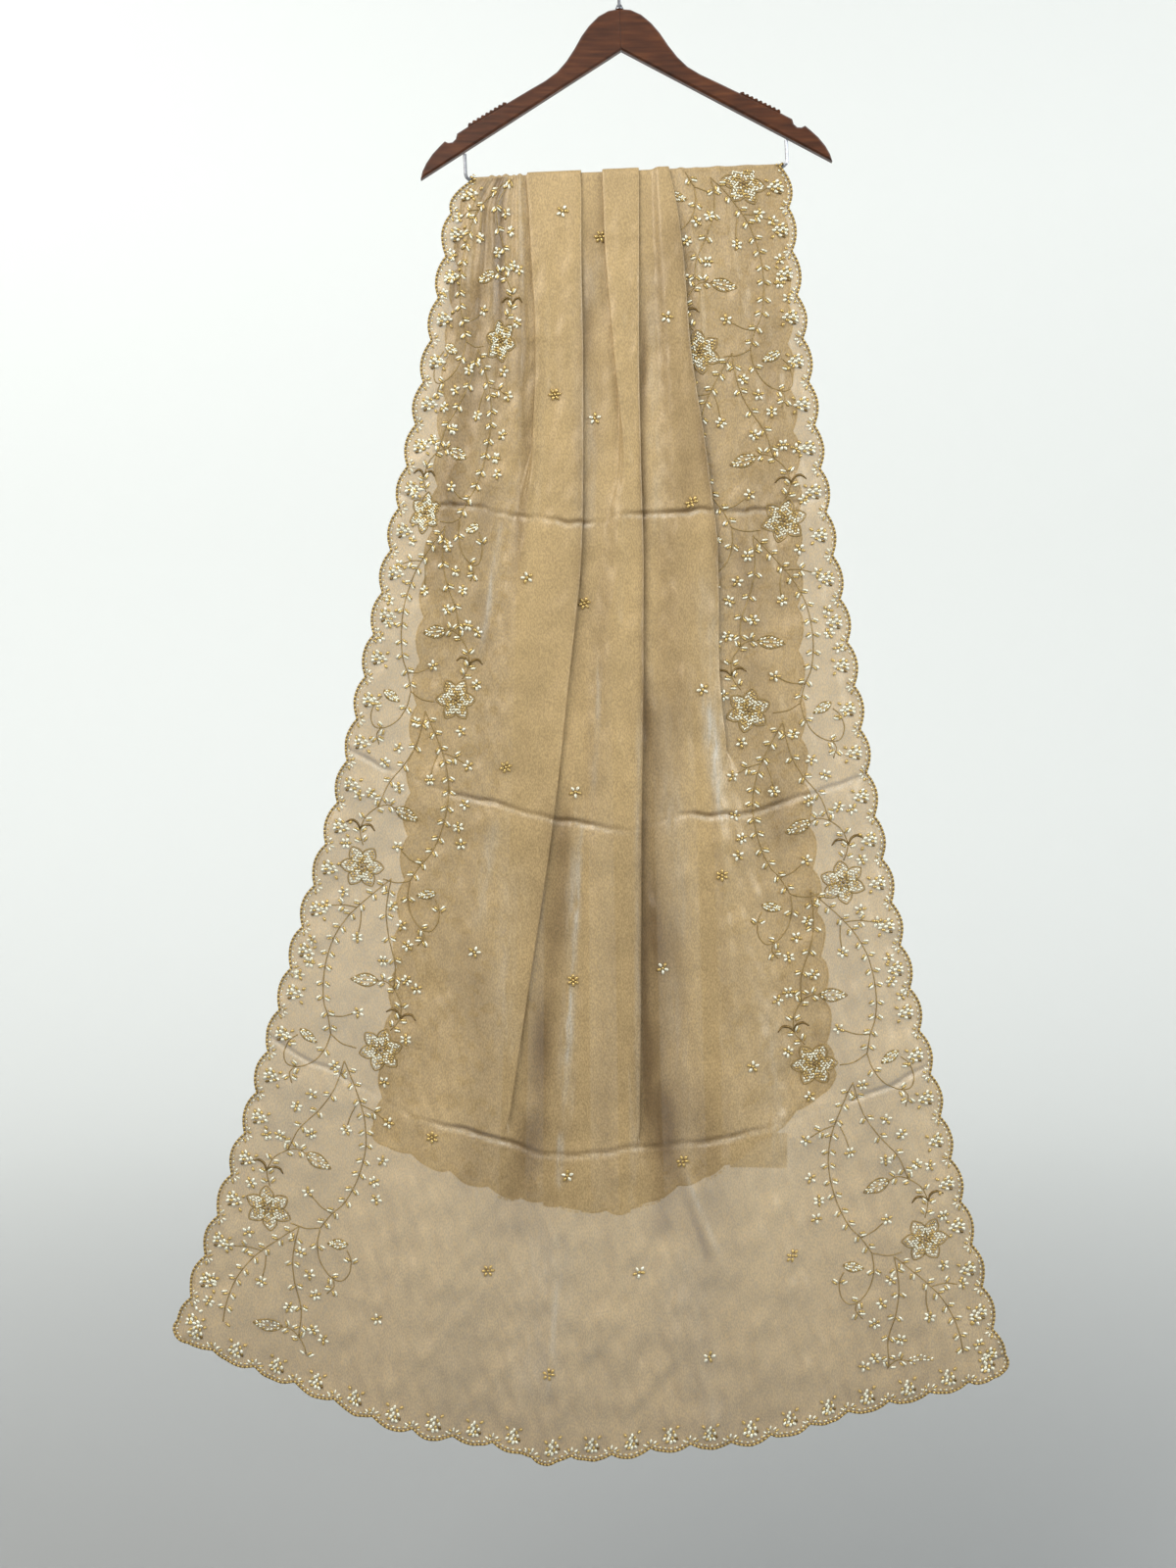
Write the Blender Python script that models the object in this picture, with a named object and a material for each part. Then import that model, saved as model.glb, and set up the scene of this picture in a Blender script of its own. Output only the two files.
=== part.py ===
# A sheer embroidered stole folded over the wire trouser bar of a wooden hanger.
# Metres, +Z up, +X to the right as seen from the front, the front faces -Y.
# The origin is the seat of the hook: the inside top of its bend, where a rail carries it.

import math

import bmesh
import bpy
import numpy as np
from mathutils import Vector
from mathutils.geometry import delaunay_2d_cdt

MM = 0.001

# The hanger hangs with its left end a little low, turned about the hook's seat.
TILT = math.radians(2.5)

# Hanger sizes in millimetres, in the hanger's own level frame, below the top of the wood.
WOOD_TOP = -68.0  # below the hook's seat
WOOD_THICKNESS = 12.0
WOOD_ROUNDING = 2.6
HALF_SPAN = 222.5
APEX_DROP = 44.5  # inner corner of the underside
TIP_DROP = 174.5
SEAM_GAP = 0.3

# Upper outline of one arm from the centre to its tip: distance out, drop.
HUMP_OUTLINE = (
    (0.0, 0.0), (12.0, 1.7), (23.0, 7.2), (33.5, 16.8), (42.0, 27.5), (51.0, 42.0),
    (60.0, 54.5), (70.5, 65.5), (84.0, 74.5), (99.5, 82.6),
)
SHOULDER_OUTLINE = (
    (132.5, 100.3), (170.0, 120.7), (181.0, 127.0), (182.6, 132.6), (186.4, 136.2),
    (191.0, 136.6), (194.8, 134.8), (200.6, 140.0), (208.6, 148.0), (215.6, 157.4),
    (220.2, 166.2),
)

# Grip combs set on the upper edge of each arm.
GRIP_START, GRIP_END = 126.0, 168.5  # distance out along the arm's upper edge
GRIP_TEETH = 9
GRIP_BASE = 0.8
GRIP_TOOTH = 1.9
TOOTH_TOP = (0.45, 0.65)  # where a tooth's flat top starts and ends, in its pitch
GRIP_WIDTH = 7.0

WIRE_RADIUS = 1.8
BAR_HALF_SPAN = 174.0
BAR_DROP = 177.0  # axis of the bar below the top of the wood
BAR_BEND = 7.0
BAR_STOPS = (-60.0, 60.0)  # middle points of its straight run
HOOK_INNER_RADIUS = 20.0
HOOK_START_ANGLE, HOOK_END_ANGLE = math.radians(-66.0), math.radians(205.0)
HOOK_STEPS = 16
# The stem leans into the bend, so that the seat stays above the hanger's middle: x, z.
HOOK_STEM = ((0.0, -52.0), (1.2, -48.0), (4.6, -40.4))
HOOK_TIP = ((1.2, 0.8), (1.8, 0.4))  # past the bend's end: distance, share of the radius
COLLAR_RADIUS, COLLAR_HEIGHT = 4.6, 5.0
COLLAR_PROFILE = ((0.0, 1.0), (0.2, 1.0), (0.68, 0.72), (1.0, 0.6))  # shares of the two
FIT_GAP = 0.3

# Cloth sizes in millimetres.
CLOTH_WALL = 1.0
SCALLOP_DEPTH = 7.0
SCALLOP_PARTS = (0.0, 0.22, 0.5, 0.78)  # points of one scallop, from cusp to cusp
SIDE_SCALLOP = 46.5
HEM_SCALLOP = 43.0
EDGE_BAND = 17.0  # from the outer line to the first row or column of the plain cloth
SEAM = 0.5  # between one stretch of cloth and the next, at the middle of the wall

# Each fall is measured by its share of the drop, 0 at the bar's axis and 1 at the hem.
STATIONS = (0.0, 0.02, 0.06, 0.14, 0.22, 0.30, 0.40, 0.50, 0.65, 0.80, 1.0)

# A fold is a knife pleat. lap +1: the left cloth lies over the right, and its edge faces
# right. lap -1: the other way. x is the visible edge, depth is how far the cloth runs
# back under itself, and 0 means that the pleat has opened into a soft step.
FRONT = {
    "drop": 1387.0,
    "lift": (142.0, 88.0),  # how much higher the left and right corners of the hem are
    "left": (-160, -181, -190, -208, -227, -247, -272, -298, -349, -400, -478),
    "right": (182, 189, 194, 207, 221, 235, 257, 276, 314, 359, 423),
    "folds": (
        {"name": "panel_left", "lap": -1,
         "x": (-98, -96, -93, -88, -93, -111, -128, -143, -176, -214, -275),
         "depth": (14, 13, 12, 10, 4, 0, 0, 0, 0, 0, 0)},
        {"name": "panel_right", "lap": 1,
         "x": (-39, -38, -38, -36, -36, -38, -52, -67, -97, -128, -172),
         "depth": (34, 35, 36, 38, 42, 50, 48, 42, 17, 0, 0)},
        {"name": "inner_left", "lap": -1,
         "x": (-16, -15, -13, -4, 4, -9, -23, -33, -52, -70, -82),
         "depth": (8, 7, 7, 5, 3, 0, 0, 0, 0, 0, 0)},
        {"name": "centre_slit", "lap": 1,
         "x": (24, 24, 24, 24, 26, 29, 29, 27, 26, 24, 23),
         "depth": (24, 23, 22, 18, 15, 20, 30, 34, 32, 22, 8)},
        {"name": "inner_right", "lap": -1,
         "x": (41, 42, 44, 50, 53, 56, 62, 66, 72, 80, 92),
         "depth": (0, 0, 0, 0, 0, 0, 0, 0, 0, 0, 0)},
        {"name": "group_right", "lap": 1,
         "x": (57, 63, 71, 80, 96, 109, 111, 126, 156, 186, 228),
         "depth": (8, 10, 14, 22, 31, 36, 14, 0, 0, 0, 0)},
    ),
}
BACK = {
    "drop": 1125.0,
    "lift": (86.0, 133.0),
    "left": (-160, -168, -175, -184, -192, -199, -211, -220, -231, -243, -266),
    "right": (182, 184, 186, 190, 193, 199, 201, 203, 209, 224, 238),
    "folds": (
        {"name": "panel_left", "lap": -1,
         "x": (-98, -98, -99, -101, -103, -105, -108, -111, -116, -121, -128),
         "depth": (14, 14, 15, 16, 18, 19, 20, 22, 24, 26, 28)},
        {"name": "panel_right", "lap": 1,
         "x": (-39, -38, -37, -36, -35, -34, -33, -32, -30, -29, -28),
         "depth": (34, 36, 38, 40, 42, 43, 44, 46, 48, 50, 52)},
        {"name": "inner_left", "lap": -1,
         "x": (-16, -15, -13, -11, -9, -8, -6, -5, -3, 0, 3),
         "depth": (8, 8, 9, 9, 10, 10, 11, 11, 12, 12, 12)},
        {"name": "centre_slit", "lap": 1,
         "x": (24, 25, 27, 29, 31, 33, 35, 38, 42, 46, 52),
         "depth": (24, 24, 24, 24, 24, 25, 25, 26, 27, 28, 30)},
        {"name": "inner_right", "lap": -1,
         "x": (41, 42, 44, 47, 50, 53, 56, 58, 62, 66, 70),
         "depth": (0, 0, 0, 0, 0, 0, 0, 0, 0, 0, 0)},
        {"name": "group_right", "lap": 1,
         "x": (57, 60, 66, 74, 82, 89, 95, 99, 105, 110, 116),
         "depth": (8, 9, 11, 14, 16, 17, 18, 18, 18, 18, 18)},
    ),
}

# A knife pleat turns back over this part of a layer's step. It is sharp when it is
# deeper than PLEAT_CLOSED, and an opened one is a ramp that widens down the fall.
PLEAT_TIP = 0.45
PLEAT_CLOSED = 6.0
PLEAT_LEAST = 2.4  # tips
RAMP_AT_BAR, RAMP_GROWTH = 4.0, 22.0

# The hem's arc: how the corners' lift grows down the fall and across it.
LIFT_DOWN, LIFT_ACROSS = 1.3, 1.7

# How far apart the layers of a pleat lie, and how far the outermost layer stands from
# the bar's axis, at each station.
LAYER_STEP = (1.6, 2.0, 2.5, 2.9, 3.0, 3.0, 3.0, 3.0, 3.0, 3.0, 3.0)
FRONT_REACH = (5.9, 7.4, 9.6, 11.5, 12.5, 13.0, 13.5, 14.0, 14.5, 15.0, 15.0)
BACK_REACH = (5.9, 7.4, 9.6, 11.2, 12.0, 12.5, 13.0, 13.5, 14.0, 14.5, 15.0)

# Soft waves of the whole stack: place across the width (-1 left, 1 right), half width,
# height at the hem, and the share of the drop where it begins.
FRONT_WAVES = (
    {"at": -0.93, "half": 0.14, "high": 5.0, "from": 0.00},
    {"at": -0.70, "half": 0.15, "high": -6.0, "from": 0.25},
    {"at": -0.47, "half": 0.15, "high": 7.0, "from": 0.45},
    {"at": -0.27, "half": 0.12, "high": -5.0, "from": 0.60},
    {"at": -0.06, "half": 0.12, "high": 8.0, "from": 0.65},
    {"at": 0.17, "half": 0.12, "high": -5.0, "from": 0.55},
    {"at": 0.38, "half": 0.14, "high": 7.0, "from": 0.40},
    {"at": 0.62, "half": 0.14, "high": -6.0, "from": 0.30},
    {"at": 0.86, "half": 0.14, "high": 6.0, "from": 0.15},
)
BACK_WAVES = (
    {"at": -0.85, "half": 0.22, "high": 5.0, "from": 0.00},
    {"at": -0.45, "half": 0.20, "high": -4.0, "from": 0.20},
    {"at": 0.00, "half": 0.22, "high": 4.0, "from": 0.35},
    {"at": 0.48, "half": 0.22, "high": -4.0, "from": 0.25},
    {"at": 0.88, "half": 0.20, "high": 5.0, "from": 0.10},
)

# Places where the hem hangs a little lower than its arc, at the foot of a pleat.
FRONT_DIPS = (
    {"at": -0.125, "half": 0.055, "deep": 9.0},
    {"at": 0.92, "half": 0.08, "deep": 4.0},
)
BACK_DIPS = (
    {"at": 0.05, "half": 0.16, "deep": 7.0},
)

# Level creases left by folding the cloth for storage: share of the drop, height.
FRONT_CREASES = ((0.272, 2.4), (0.505, 3.0), (0.750, 3.0))
BACK_CREASES = ((0.335, 2.4), (0.625, 2.4), (0.915, 2.4))
CREASE_HALF = 16.0

# Rows of the plain cloth down each fall, besides those at the creases.
FRONT_ROWS = (0.0, 0.012, 0.03, 0.06, 0.10, 0.14, 0.18, 0.22, 0.32, 0.37, 0.42,
              0.44, 0.45, 0.46, 0.475, 0.56, 0.62, 0.66, 0.70, 0.81, 0.87, 0.93)
BACK_ROWS = (0.0, 0.02, 0.06, 0.14, 0.24, 0.42, 0.52, 0.71, 0.81)
TURN_ANGLES = (0.0, 30.0, 60.0, 90.0, 120.0, 150.0, 180.0)
RIDGE_STEP = 1.3  # between the layers where they cross over the bar
TURN_NARROWING = 0.985

BORDER_COLUMNS = 7
PLEAT_CLEARANCE = 2.5  # from a pleat's edge to the nearest column of the border
GATHER_HEIGHT = 0.9  # of a layer step, at the bar
GATHER_END = 0.26  # share of the drop where the small gathers have run out

LABEL_WIDTH, LABEL_HEIGHT = 62.0, 38.0
LABEL_AT = 0.67  # place across the back fall's hem
LABEL_OVERLAP = 12.0

MATERIALS = {
    "varnished_wood": ((0.155, 0.040, 0.016), 0.32, 0.0),
    "bright_steel": ((0.62, 0.62, 0.64), 0.25, 1.0),
    "gold_organza": ((0.62, 0.44, 0.25), 0.42, 0.15),
    "label_satin": ((0.85, 0.84, 0.80), 0.55, 0.0),
}


def material(name):
    """A plain Principled material from the table above."""
    found = bpy.data.materials.get(name)
    if found:
        return found
    colour, roughness, metallic = MATERIALS[name]
    made = bpy.data.materials.new(name)
    made.use_nodes = True
    shader = made.node_tree.nodes["Principled BSDF"]
    shader.inputs["Base Color"].default_value = (*colour, 1.0)
    shader.inputs["Roughness"].default_value = roughness
    shader.inputs["Metallic"].default_value = metallic
    return made


def add_object(name, mesh, finish, smooth_below=math.radians(40)):
    """Links a mesh as an object with its material, round stretches shaded smooth."""
    mesh.materials.append(material(finish))
    mesh.shade_smooth()
    mesh.set_sharp_from_angle(angle=smooth_below)
    made = bpy.data.objects.new(name, mesh)
    bpy.context.scene.collection.objects.link(made)
    return made


def mesh_from(name, points, faces):
    """A mesh of points in millimetres, with its faces turned outwards."""
    made = bpy.data.meshes.new(name)
    made.from_pydata([Vector(p) * MM for p in points], [], faces)
    work = bmesh.new()
    work.from_mesh(made)
    bmesh.ops.recalc_face_normals(work, faces=work.faces)
    work.to_mesh(made)
    work.free()
    return made


def tilted(x, y, z):
    """A point of the level hanger, below the seat, turned with the hanging hanger."""
    return (
        x * math.cos(TILT) - z * math.sin(TILT),
        y,
        x * math.sin(TILT) + z * math.cos(TILT),
    )


def eased(value):
    """0 to 1 with a soft start and end."""
    held = min(1.0, max(0.0, value))
    return held * held * (3 - 2 * held)


def along(table, share):
    """A smooth reading of a table given at STATIONS."""
    last = len(STATIONS) - 2
    at = min(max(int(np.searchsorted(STATIONS, share, side="right")) - 1, 0), last)
    slopes = np.gradient(np.asarray(table, float), STATIONS)
    low, high = STATIONS[at], STATIONS[at + 1]
    width = high - low
    s = min(1.0, max(0.0, (share - low) / width))
    chord = (table[at + 1] - table[at]) / width
    limit = 3 * abs(chord)
    start, end = (math.copysign(min(abs(m), limit), chord) if m * chord > 0 else 0.0
                  for m in slopes[at:at + 2])
    return (
        (2 * s**3 - 3 * s**2 + 1) * table[at]
        + (s**3 - 2 * s**2 + s) * width * start
        + (3 * s**2 - 2 * s**3) * table[at + 1]
        + (s**3 - s**2) * width * end
    )


# The hanger


def arm_outline():
    """One arm's outline in the level frame, out from the seam and back: x, z."""
    upper = [(x, -drop) for x, drop in HUMP_OUTLINE + SHOULDER_OUTLINE]
    upper[0] = (SEAM_GAP / 2, 0.0)
    tip = [(HALF_SPAN, -TIP_DROP)]
    under = [(x, -(APEX_DROP + (TIP_DROP - APEX_DROP) * x / HALF_SPAN))
             for x in (150.0, 75.0, SEAM_GAP / 2)]
    return upper + tip + under


def inset_outline(outline, by):
    """The outline moved inwards, with its two points on the seam kept on the seam."""
    moved = []
    count = len(outline)
    for i, here in enumerate(outline):
        before, after = outline[i - 1], outline[(i + 1) % count]
        directions = []
        for start, end in ((before, here), (here, after)):
            length = math.dist(start, end)
            directions.append(((end[0] - start[0]) / length, (end[1] - start[1]) / length))
        (ax, az), (bx, bz) = directions
        if i in (0, count - 1):
            ax, az = bx, bz = (bx, bz) if i == 0 else (ax, az)
        normal = Vector((az + bz, -(ax + bx))).normalized()
        reach = by / max(0.5, normal.dot(Vector((az, -ax))))
        x, z = here[0] + normal.x * reach, here[1] + normal.y * reach
        if i in (0, count - 1):
            x = SEAM_GAP / 2
        moved.append((x, z))
    return moved


def add_arm(name, side):
    """One wooden half of the hanger, its long edges eased. side is +1 right, -1 left."""
    outline = arm_outline()
    inner = inset_outline(outline, WOOD_ROUNDING * 0.8)
    half = WOOD_THICKNESS / 2
    rings = ((-half, inner), (-half + WOOD_ROUNDING, outline),
             (half - WOOD_ROUNDING, outline), (half, inner))
    points = [tilted(side * x, y, z + WOOD_TOP) for y, ring in rings for x, z in ring]
    count = len(outline)
    faces = [list(range(count)), list(range(3 * count, 4 * count))]
    for ring in range(3):
        for i in range(count):
            j = (i + 1) % count
            faces.append([ring * count + i, ring * count + j,
                          (ring + 1) * count + j, (ring + 1) * count + i])
    return add_object(name, mesh_from(name, points, faces), "varnished_wood")


def add_grip(name, side):
    """The comb of small teeth that keeps straps from sliding, set on one arm."""
    (x0, d0), (x1, d1) = SHOULDER_OUTLINE[0], SHOULDER_OUTLINE[1]
    run = Vector((x1 - x0, -(d1 - d0))).normalized()
    up = Vector((-run.y, run.x))
    start = Vector((x0, -d0)) + run * ((GRIP_START - x0) / run.x)
    end = Vector((x0, -d0)) + run * ((GRIP_END - x0) / run.x)
    pitch = (end - start).length / GRIP_TEETH
    profile = [start + up * FIT_GAP, start + up * (FIT_GAP + GRIP_BASE)]
    for tooth in range(GRIP_TEETH):
        root = start + run * pitch * tooth + up * (FIT_GAP + GRIP_BASE)
        profile += [root + run * pitch * share + up * GRIP_TOOTH for share in TOOTH_TOP]
        profile.append(root + run * pitch)
    profile.append(end + up * FIT_GAP)
    half = GRIP_WIDTH / 2
    points = [tilted(side * p.x, y, p.y + WOOD_TOP) for y in (-half, half) for p in profile]
    count = len(profile)
    faces = [list(range(count)), list(range(count, 2 * count))]
    for i in range(count):
        j = (i + 1) % count
        faces.append([i, j, count + j, count + i])
    return add_object(name, mesh_from(name, points, faces), "varnished_wood")


def tube(name, path, radii, sides, finish):
    """A closed round rod through the points of a path, in the hanger's plane."""
    points, faces = [], []
    for i, here in enumerate(path):
        ahead = Vector(path[min(i + 1, len(path) - 1)]) - Vector(path[max(i - 1, 0)])
        ahead.normalize()
        across = Vector((ahead.z, 0.0, -ahead.x))
        for k in range(sides):
            turn = 2 * math.pi * k / sides
            reach = across * math.cos(turn) + Vector((0, 1, 0)) * math.sin(turn)
            points.append(tilted(*(Vector(here) + reach * radii[i])))
    for i in range(len(path) - 1):
        for k in range(sides):
            j = (k + 1) % sides
            faces.append([i * sides + k, i * sides + j,
                          (i + 1) * sides + j, (i + 1) * sides + k])
    faces.append(list(range(sides)))
    faces.append([(len(path) - 1) * sides + k for k in range(sides)])
    return add_object(name, mesh_from(name, points, faces), finish)


def add_hook():
    """The steel hook: a short stem, then a round bend with a rounded free end."""
    reach = HOOK_INNER_RADIUS + WIRE_RADIUS
    centre_z = WIRE_RADIUS - reach
    path = [(0.0, 0.0, WOOD_TOP + COLLAR_HEIGHT + 2 * FIT_GAP)]
    path += [(x, 0.0, z) for x, z in HOOK_STEM]
    for i in range(HOOK_STEPS + 1):
        turn = HOOK_START_ANGLE + (HOOK_END_ANGLE - HOOK_START_ANGLE) * i / HOOK_STEPS
        path.append((reach * math.cos(turn), 0.0, centre_z + reach * math.sin(turn)))
    radii = [WIRE_RADIUS] * len(path)
    end = Vector(path[-1])
    ahead = (end - Vector(path[-2])).normalized()
    for distance, share in HOOK_TIP:
        path.append(tuple(end + ahead * distance))
        radii.append(WIRE_RADIUS * share)
    return tube("hanger_hook", path, radii, 10, "bright_steel")


def add_collar():
    """The small turned collar where the hook enters the wood."""
    low = WOOD_TOP + FIT_GAP
    path = [(0.0, 0.0, low + share * COLLAR_HEIGHT) for share, _ in COLLAR_PROFILE]
    radii = [share * COLLAR_RADIUS for _, share in COLLAR_PROFILE]
    return tube("hanger_collar", path, radii, 14, "bright_steel")


def add_bar():
    """The wire trouser bar, its two ends turned up to the undersides of the arms."""
    under = APEX_DROP + (TIP_DROP - APEX_DROP) * (BAR_HALF_SPAN - WIRE_RADIUS) / HALF_SPAN
    top = WOOD_TOP - under - FIT_GAP - 1.6 * WIRE_RADIUS
    axis = WOOD_TOP - BAR_DROP
    path = [(-BAR_HALF_SPAN, 0.0, top), (-BAR_HALF_SPAN, 0.0, axis + BAR_BEND)]
    for step in range(1, 4):
        turn = math.pi / 2 * step / 3
        path.append((-BAR_HALF_SPAN + BAR_BEND * (1 - math.cos(turn)), 0.0,
                     axis + BAR_BEND * (1 - math.sin(turn))))
    path += [(x, 0.0, axis) for x in BAR_STOPS]
    path += [(-x, y, z) for x, y, z in reversed(path[:5])]
    return tube("hanger_bar", path, [WIRE_RADIUS] * len(path), 8, "bright_steel")


# The cloth


def bar_height(x):
    """Height of the bar's axis above a place across the front, in the tilted frame."""
    _, _, middle = tilted(0.0, 0.0, WOOD_TOP - BAR_DROP)
    return middle + x * math.tan(TILT)


def place_across(fall, x, share):
    """-1 at the fall's left edge, 1 at its right edge."""
    low, high = along(fall["left"], share), along(fall["right"], share)
    return 2 * (x - low) / (high - low) - 1


def height_of(fall, x, share):
    """Height of a point of the fall: the hem hangs as an arc, lower in the middle."""
    across = place_across(fall, x, share)
    top = bar_height((fall["left"][0] + fall["right"][0]) / 2
                     + across * (fall["right"][0] - fall["left"][0]) / 2)
    lift = fall["lift"][0] if across < 0 else fall["lift"][1]
    low = fall["drop"] * share - lift * share**LIFT_DOWN * abs(across) ** LIFT_ACROSS
    for dip in fall["dips"]:
        near = abs(across - dip["at"]) / dip["half"]
        low += dip["deep"] * eased((share - 0.9) / 0.1) * (1 - eased(near))
    return top - low


def stack_offset(fall, x, share):
    """How far the soft waves and the level creases move every layer outwards."""
    across = place_across(fall, x, share)
    total = 0.0
    for wave in fall["waves"]:
        near = abs(across - wave["at"]) / wave["half"]
        if near < 1:
            total += wave["high"] * eased((share - wave["from"]) / 0.6) * (1 - eased(near))
    for at, high in fall["creases"]:
        away = abs(share - at) * fall["drop"] / CREASE_HALF
        total += high * max(0.0, 1 - away)
    return total


def fold_points(fold, share, step):
    """The six points of one pleat, left to right along the cloth: x and layer.

    Layer 0 is the outermost cloth and layer 2 the one that passes beneath."""
    edge, depth = along(fold["x"], share), along(fold["depth"], share)
    tip = PLEAT_TIP * step
    closed = eased(depth / PLEAT_CLOSED)
    back = max(depth, PLEAT_LEAST * tip)
    knife = [(-tip, 0.0), (0.0, 0.5), (-tip, 1.0),
             (-back + tip, 1.0), (-back, 1.5), (-back + tip, 2.0)]
    spread = RAMP_AT_BAR + RAMP_GROWTH * share
    opened = [(spread * (k - 2.5) / 2.5, 2 * eased(k / 5)) for k in range(6)]
    points = []
    for (kx, kl), (ox, ol) in zip(knife, opened):
        points.append((kx * closed + ox * (1 - closed), kl * closed + ol * (1 - closed)))
    if fold["lap"] < 0:
        points = [(-x, layer) for x, layer in reversed(points)]
    return [(edge + x, layer) for x, layer in points]


def section(fall, share):
    """The cloth's path at one height, as x and layer for each column.

    The first and last columns lie one edge band inside the two side edges."""
    step = along(LAYER_STEP, share)
    low = along(fall["left"], share) + EDGE_BAND
    high = along(fall["right"], share) - EDGE_BAND
    groups = [fold_points(fold, share, step) for fold in fall["folds"]]
    gather = GATHER_HEIGHT * (1 - eased(share / GATHER_END))

    def border(outer, inner):
        """Columns from a side edge to the first pleat, gathered a little at the bar."""
        made = []
        for k in range(BORDER_COLUMNS):
            part = k / (BORDER_COLUMNS - 1)
            rise = gather * (k % 2)
            made.append((outer + (inner - outer) * part, 2.0 - rise))
        return made

    path = border(low, min(x for x, _ in groups[0]) - PLEAT_CLEARANCE)
    for number, group in enumerate(groups):
        if number:
            (x0, l0), (x1, l1) = groups[number - 1][-1], group[0]
            path.append(((x0 + x1) / 2, (l0 + l1) / 2))
        path += group
    path += border(high, max(x for x, _ in groups[-1]) + PLEAT_CLEARANCE)[::-1]
    return path


def cloth_point(fall, x, layer, share):
    """A point of the cloth in millimetres, from its place in the section."""
    reach = along(fall["reach"], share) - layer * along(LAYER_STEP, share)
    return (
        x,
        fall["side"] * (reach + stack_offset(fall, x, share)),
        height_of(fall, x, share),
    )


def scallop(length, pitch):
    """How far inside the outer line the edge lies: 0 on a crest, the depth at a cusp."""
    phase = (length / pitch) % 1.0
    return SCALLOP_DEPTH * (2 * phase - 1) ** 2


def fill_band(one, two):
    """Triangles that fill the band between two chains of (point number, flat place).

    Both chains run the same way, with the band to the left of the second."""
    ring = two + one[::-1]
    flat = [Vector(place) for _, place in ring]
    found = delaunay_2d_cdt(flat, [], [list(range(len(ring)))], 1, 1e-7)
    places, triangles, sources = found[0], found[2], found[3]
    faces = []
    for triangle in triangles:
        a, b, c = (places[k] for k in triangle)
        turned = (b - a).cross(c - a) < 0
        corners = [ring[sources[k][0]][0] for k in triangle]
        faces.append(tuple(reversed(corners)) if turned else tuple(corners))
    return faces


def thick_wall(name, points, faces, rim):
    """A closed wall: the sheet moved half the cloth's thickness to both sides."""
    base = np.array(points, float)
    corners = np.array(faces)
    edges = [base[corners[:, (k + 1) % 3]] - base[corners[:, k]] for k in range(3)]
    normals = np.cross(edges[0], edges[1])
    normals /= np.linalg.norm(normals, axis=1)[:, None]
    total = np.zeros_like(base)
    for k in range(3):
        one, other = edges[k], -edges[k - 1]
        cosine = (one * other).sum(1)
        cosine /= np.linalg.norm(one, axis=1) * np.linalg.norm(other, axis=1)
        weight = np.arccos(np.clip(cosine, -1, 1))
        np.add.at(total, corners[:, k], normals * weight[:, None])
    total /= np.linalg.norm(total, axis=1)[:, None]
    least = np.ones(len(base))
    for k in range(3):
        agree = (total[corners[:, k]] * normals).sum(1)
        np.minimum.at(least, corners[:, k], agree)
    shift = total * (CLOTH_WALL / 2 / np.clip(least, 0.6, 1))[:, None]
    count = len(points)
    both = np.vstack((base + shift, base - shift))
    walls = [tuple(f) for f in faces] + [(a + count, c + count, b + count)
                                         for a, b, c in faces]
    for a, b in zip(rim, rim[1:] + rim[:1]):
        walls.append((a, a + count, b + count))
        walls.append((a, b + count, b))
    return mesh_from(name, both, walls)


def fall_rows(fall):
    """Heights of the rows of plain cloth, with a few at each level crease."""
    last = 1 - EDGE_BAND / fall["drop"]
    rows = set(fall["rows"]) | {last}
    for at, _ in fall["creases"]:
        half = CREASE_HALF / fall["drop"]
        rows |= {at - half, at, at + half}
    return sorted(rows)


def side_edge(fall, table, inward):
    """The scalloped points of one side edge from top to bottom: share and x."""
    steps = 400
    shares = [k / steps for k in range(steps + 1)]
    xs = [along(table, s) for s in shares]
    zs = [height_of(fall, x, s) for x, s in zip(xs, shares)]
    lengths = [0.0]
    for k in range(steps):
        lengths.append(lengths[-1] + math.hypot(xs[k + 1] - xs[k], zs[k + 1] - zs[k]))
    count = round(lengths[-1] / SIDE_SCALLOP)
    pitch = lengths[-1] / count
    made = []
    for number in range(count):
        for part in SCALLOP_PARTS:
            length = (number + part) * pitch
            share = float(np.interp(length, lengths, shares))
            made.append((share, along(table, share) + inward * scallop(length, pitch)))
    return made


def path_lengths(path):
    """How far along the cloth each column of a section at the hem lies."""
    lengths = [0.0]
    for (x0, l0), (x1, l1) in zip(path, path[1:]):
        rise = (l1 - l0) * LAYER_STEP[-1]
        lengths.append(lengths[-1] + math.hypot(x1 - x0, rise))
    return lengths


def hem_edge(fall, path):
    """The scalloped hem as (column, share), with every column of the last row."""
    lengths = path_lengths(path)
    whole = lengths[-1] + 2 * EDGE_BAND
    count = round(whole / HEM_SCALLOP)
    pitch = whole / count
    keys = {float(k) for k in range(len(path))}
    for number in range(1, 2 * count):
        length = number * pitch / 2 - EDGE_BAND
        if 0 < length < lengths[-1]:
            column = float(np.interp(length, lengths, range(len(path))))
            at = int(column)
            inside = min(length - lengths[at], lengths[at + 1] - length)
            level = abs(path[at + 1][1] - path[at][1]) < 0.45
            if level and inside > 2.0:
                keys.add(column)
    made = []
    for key in sorted(keys):
        length = float(np.interp(key, range(len(path)), lengths)) + EDGE_BAND
        made.append((key, 1 - scallop(length, pitch) / fall["drop"]))
    return made


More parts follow.
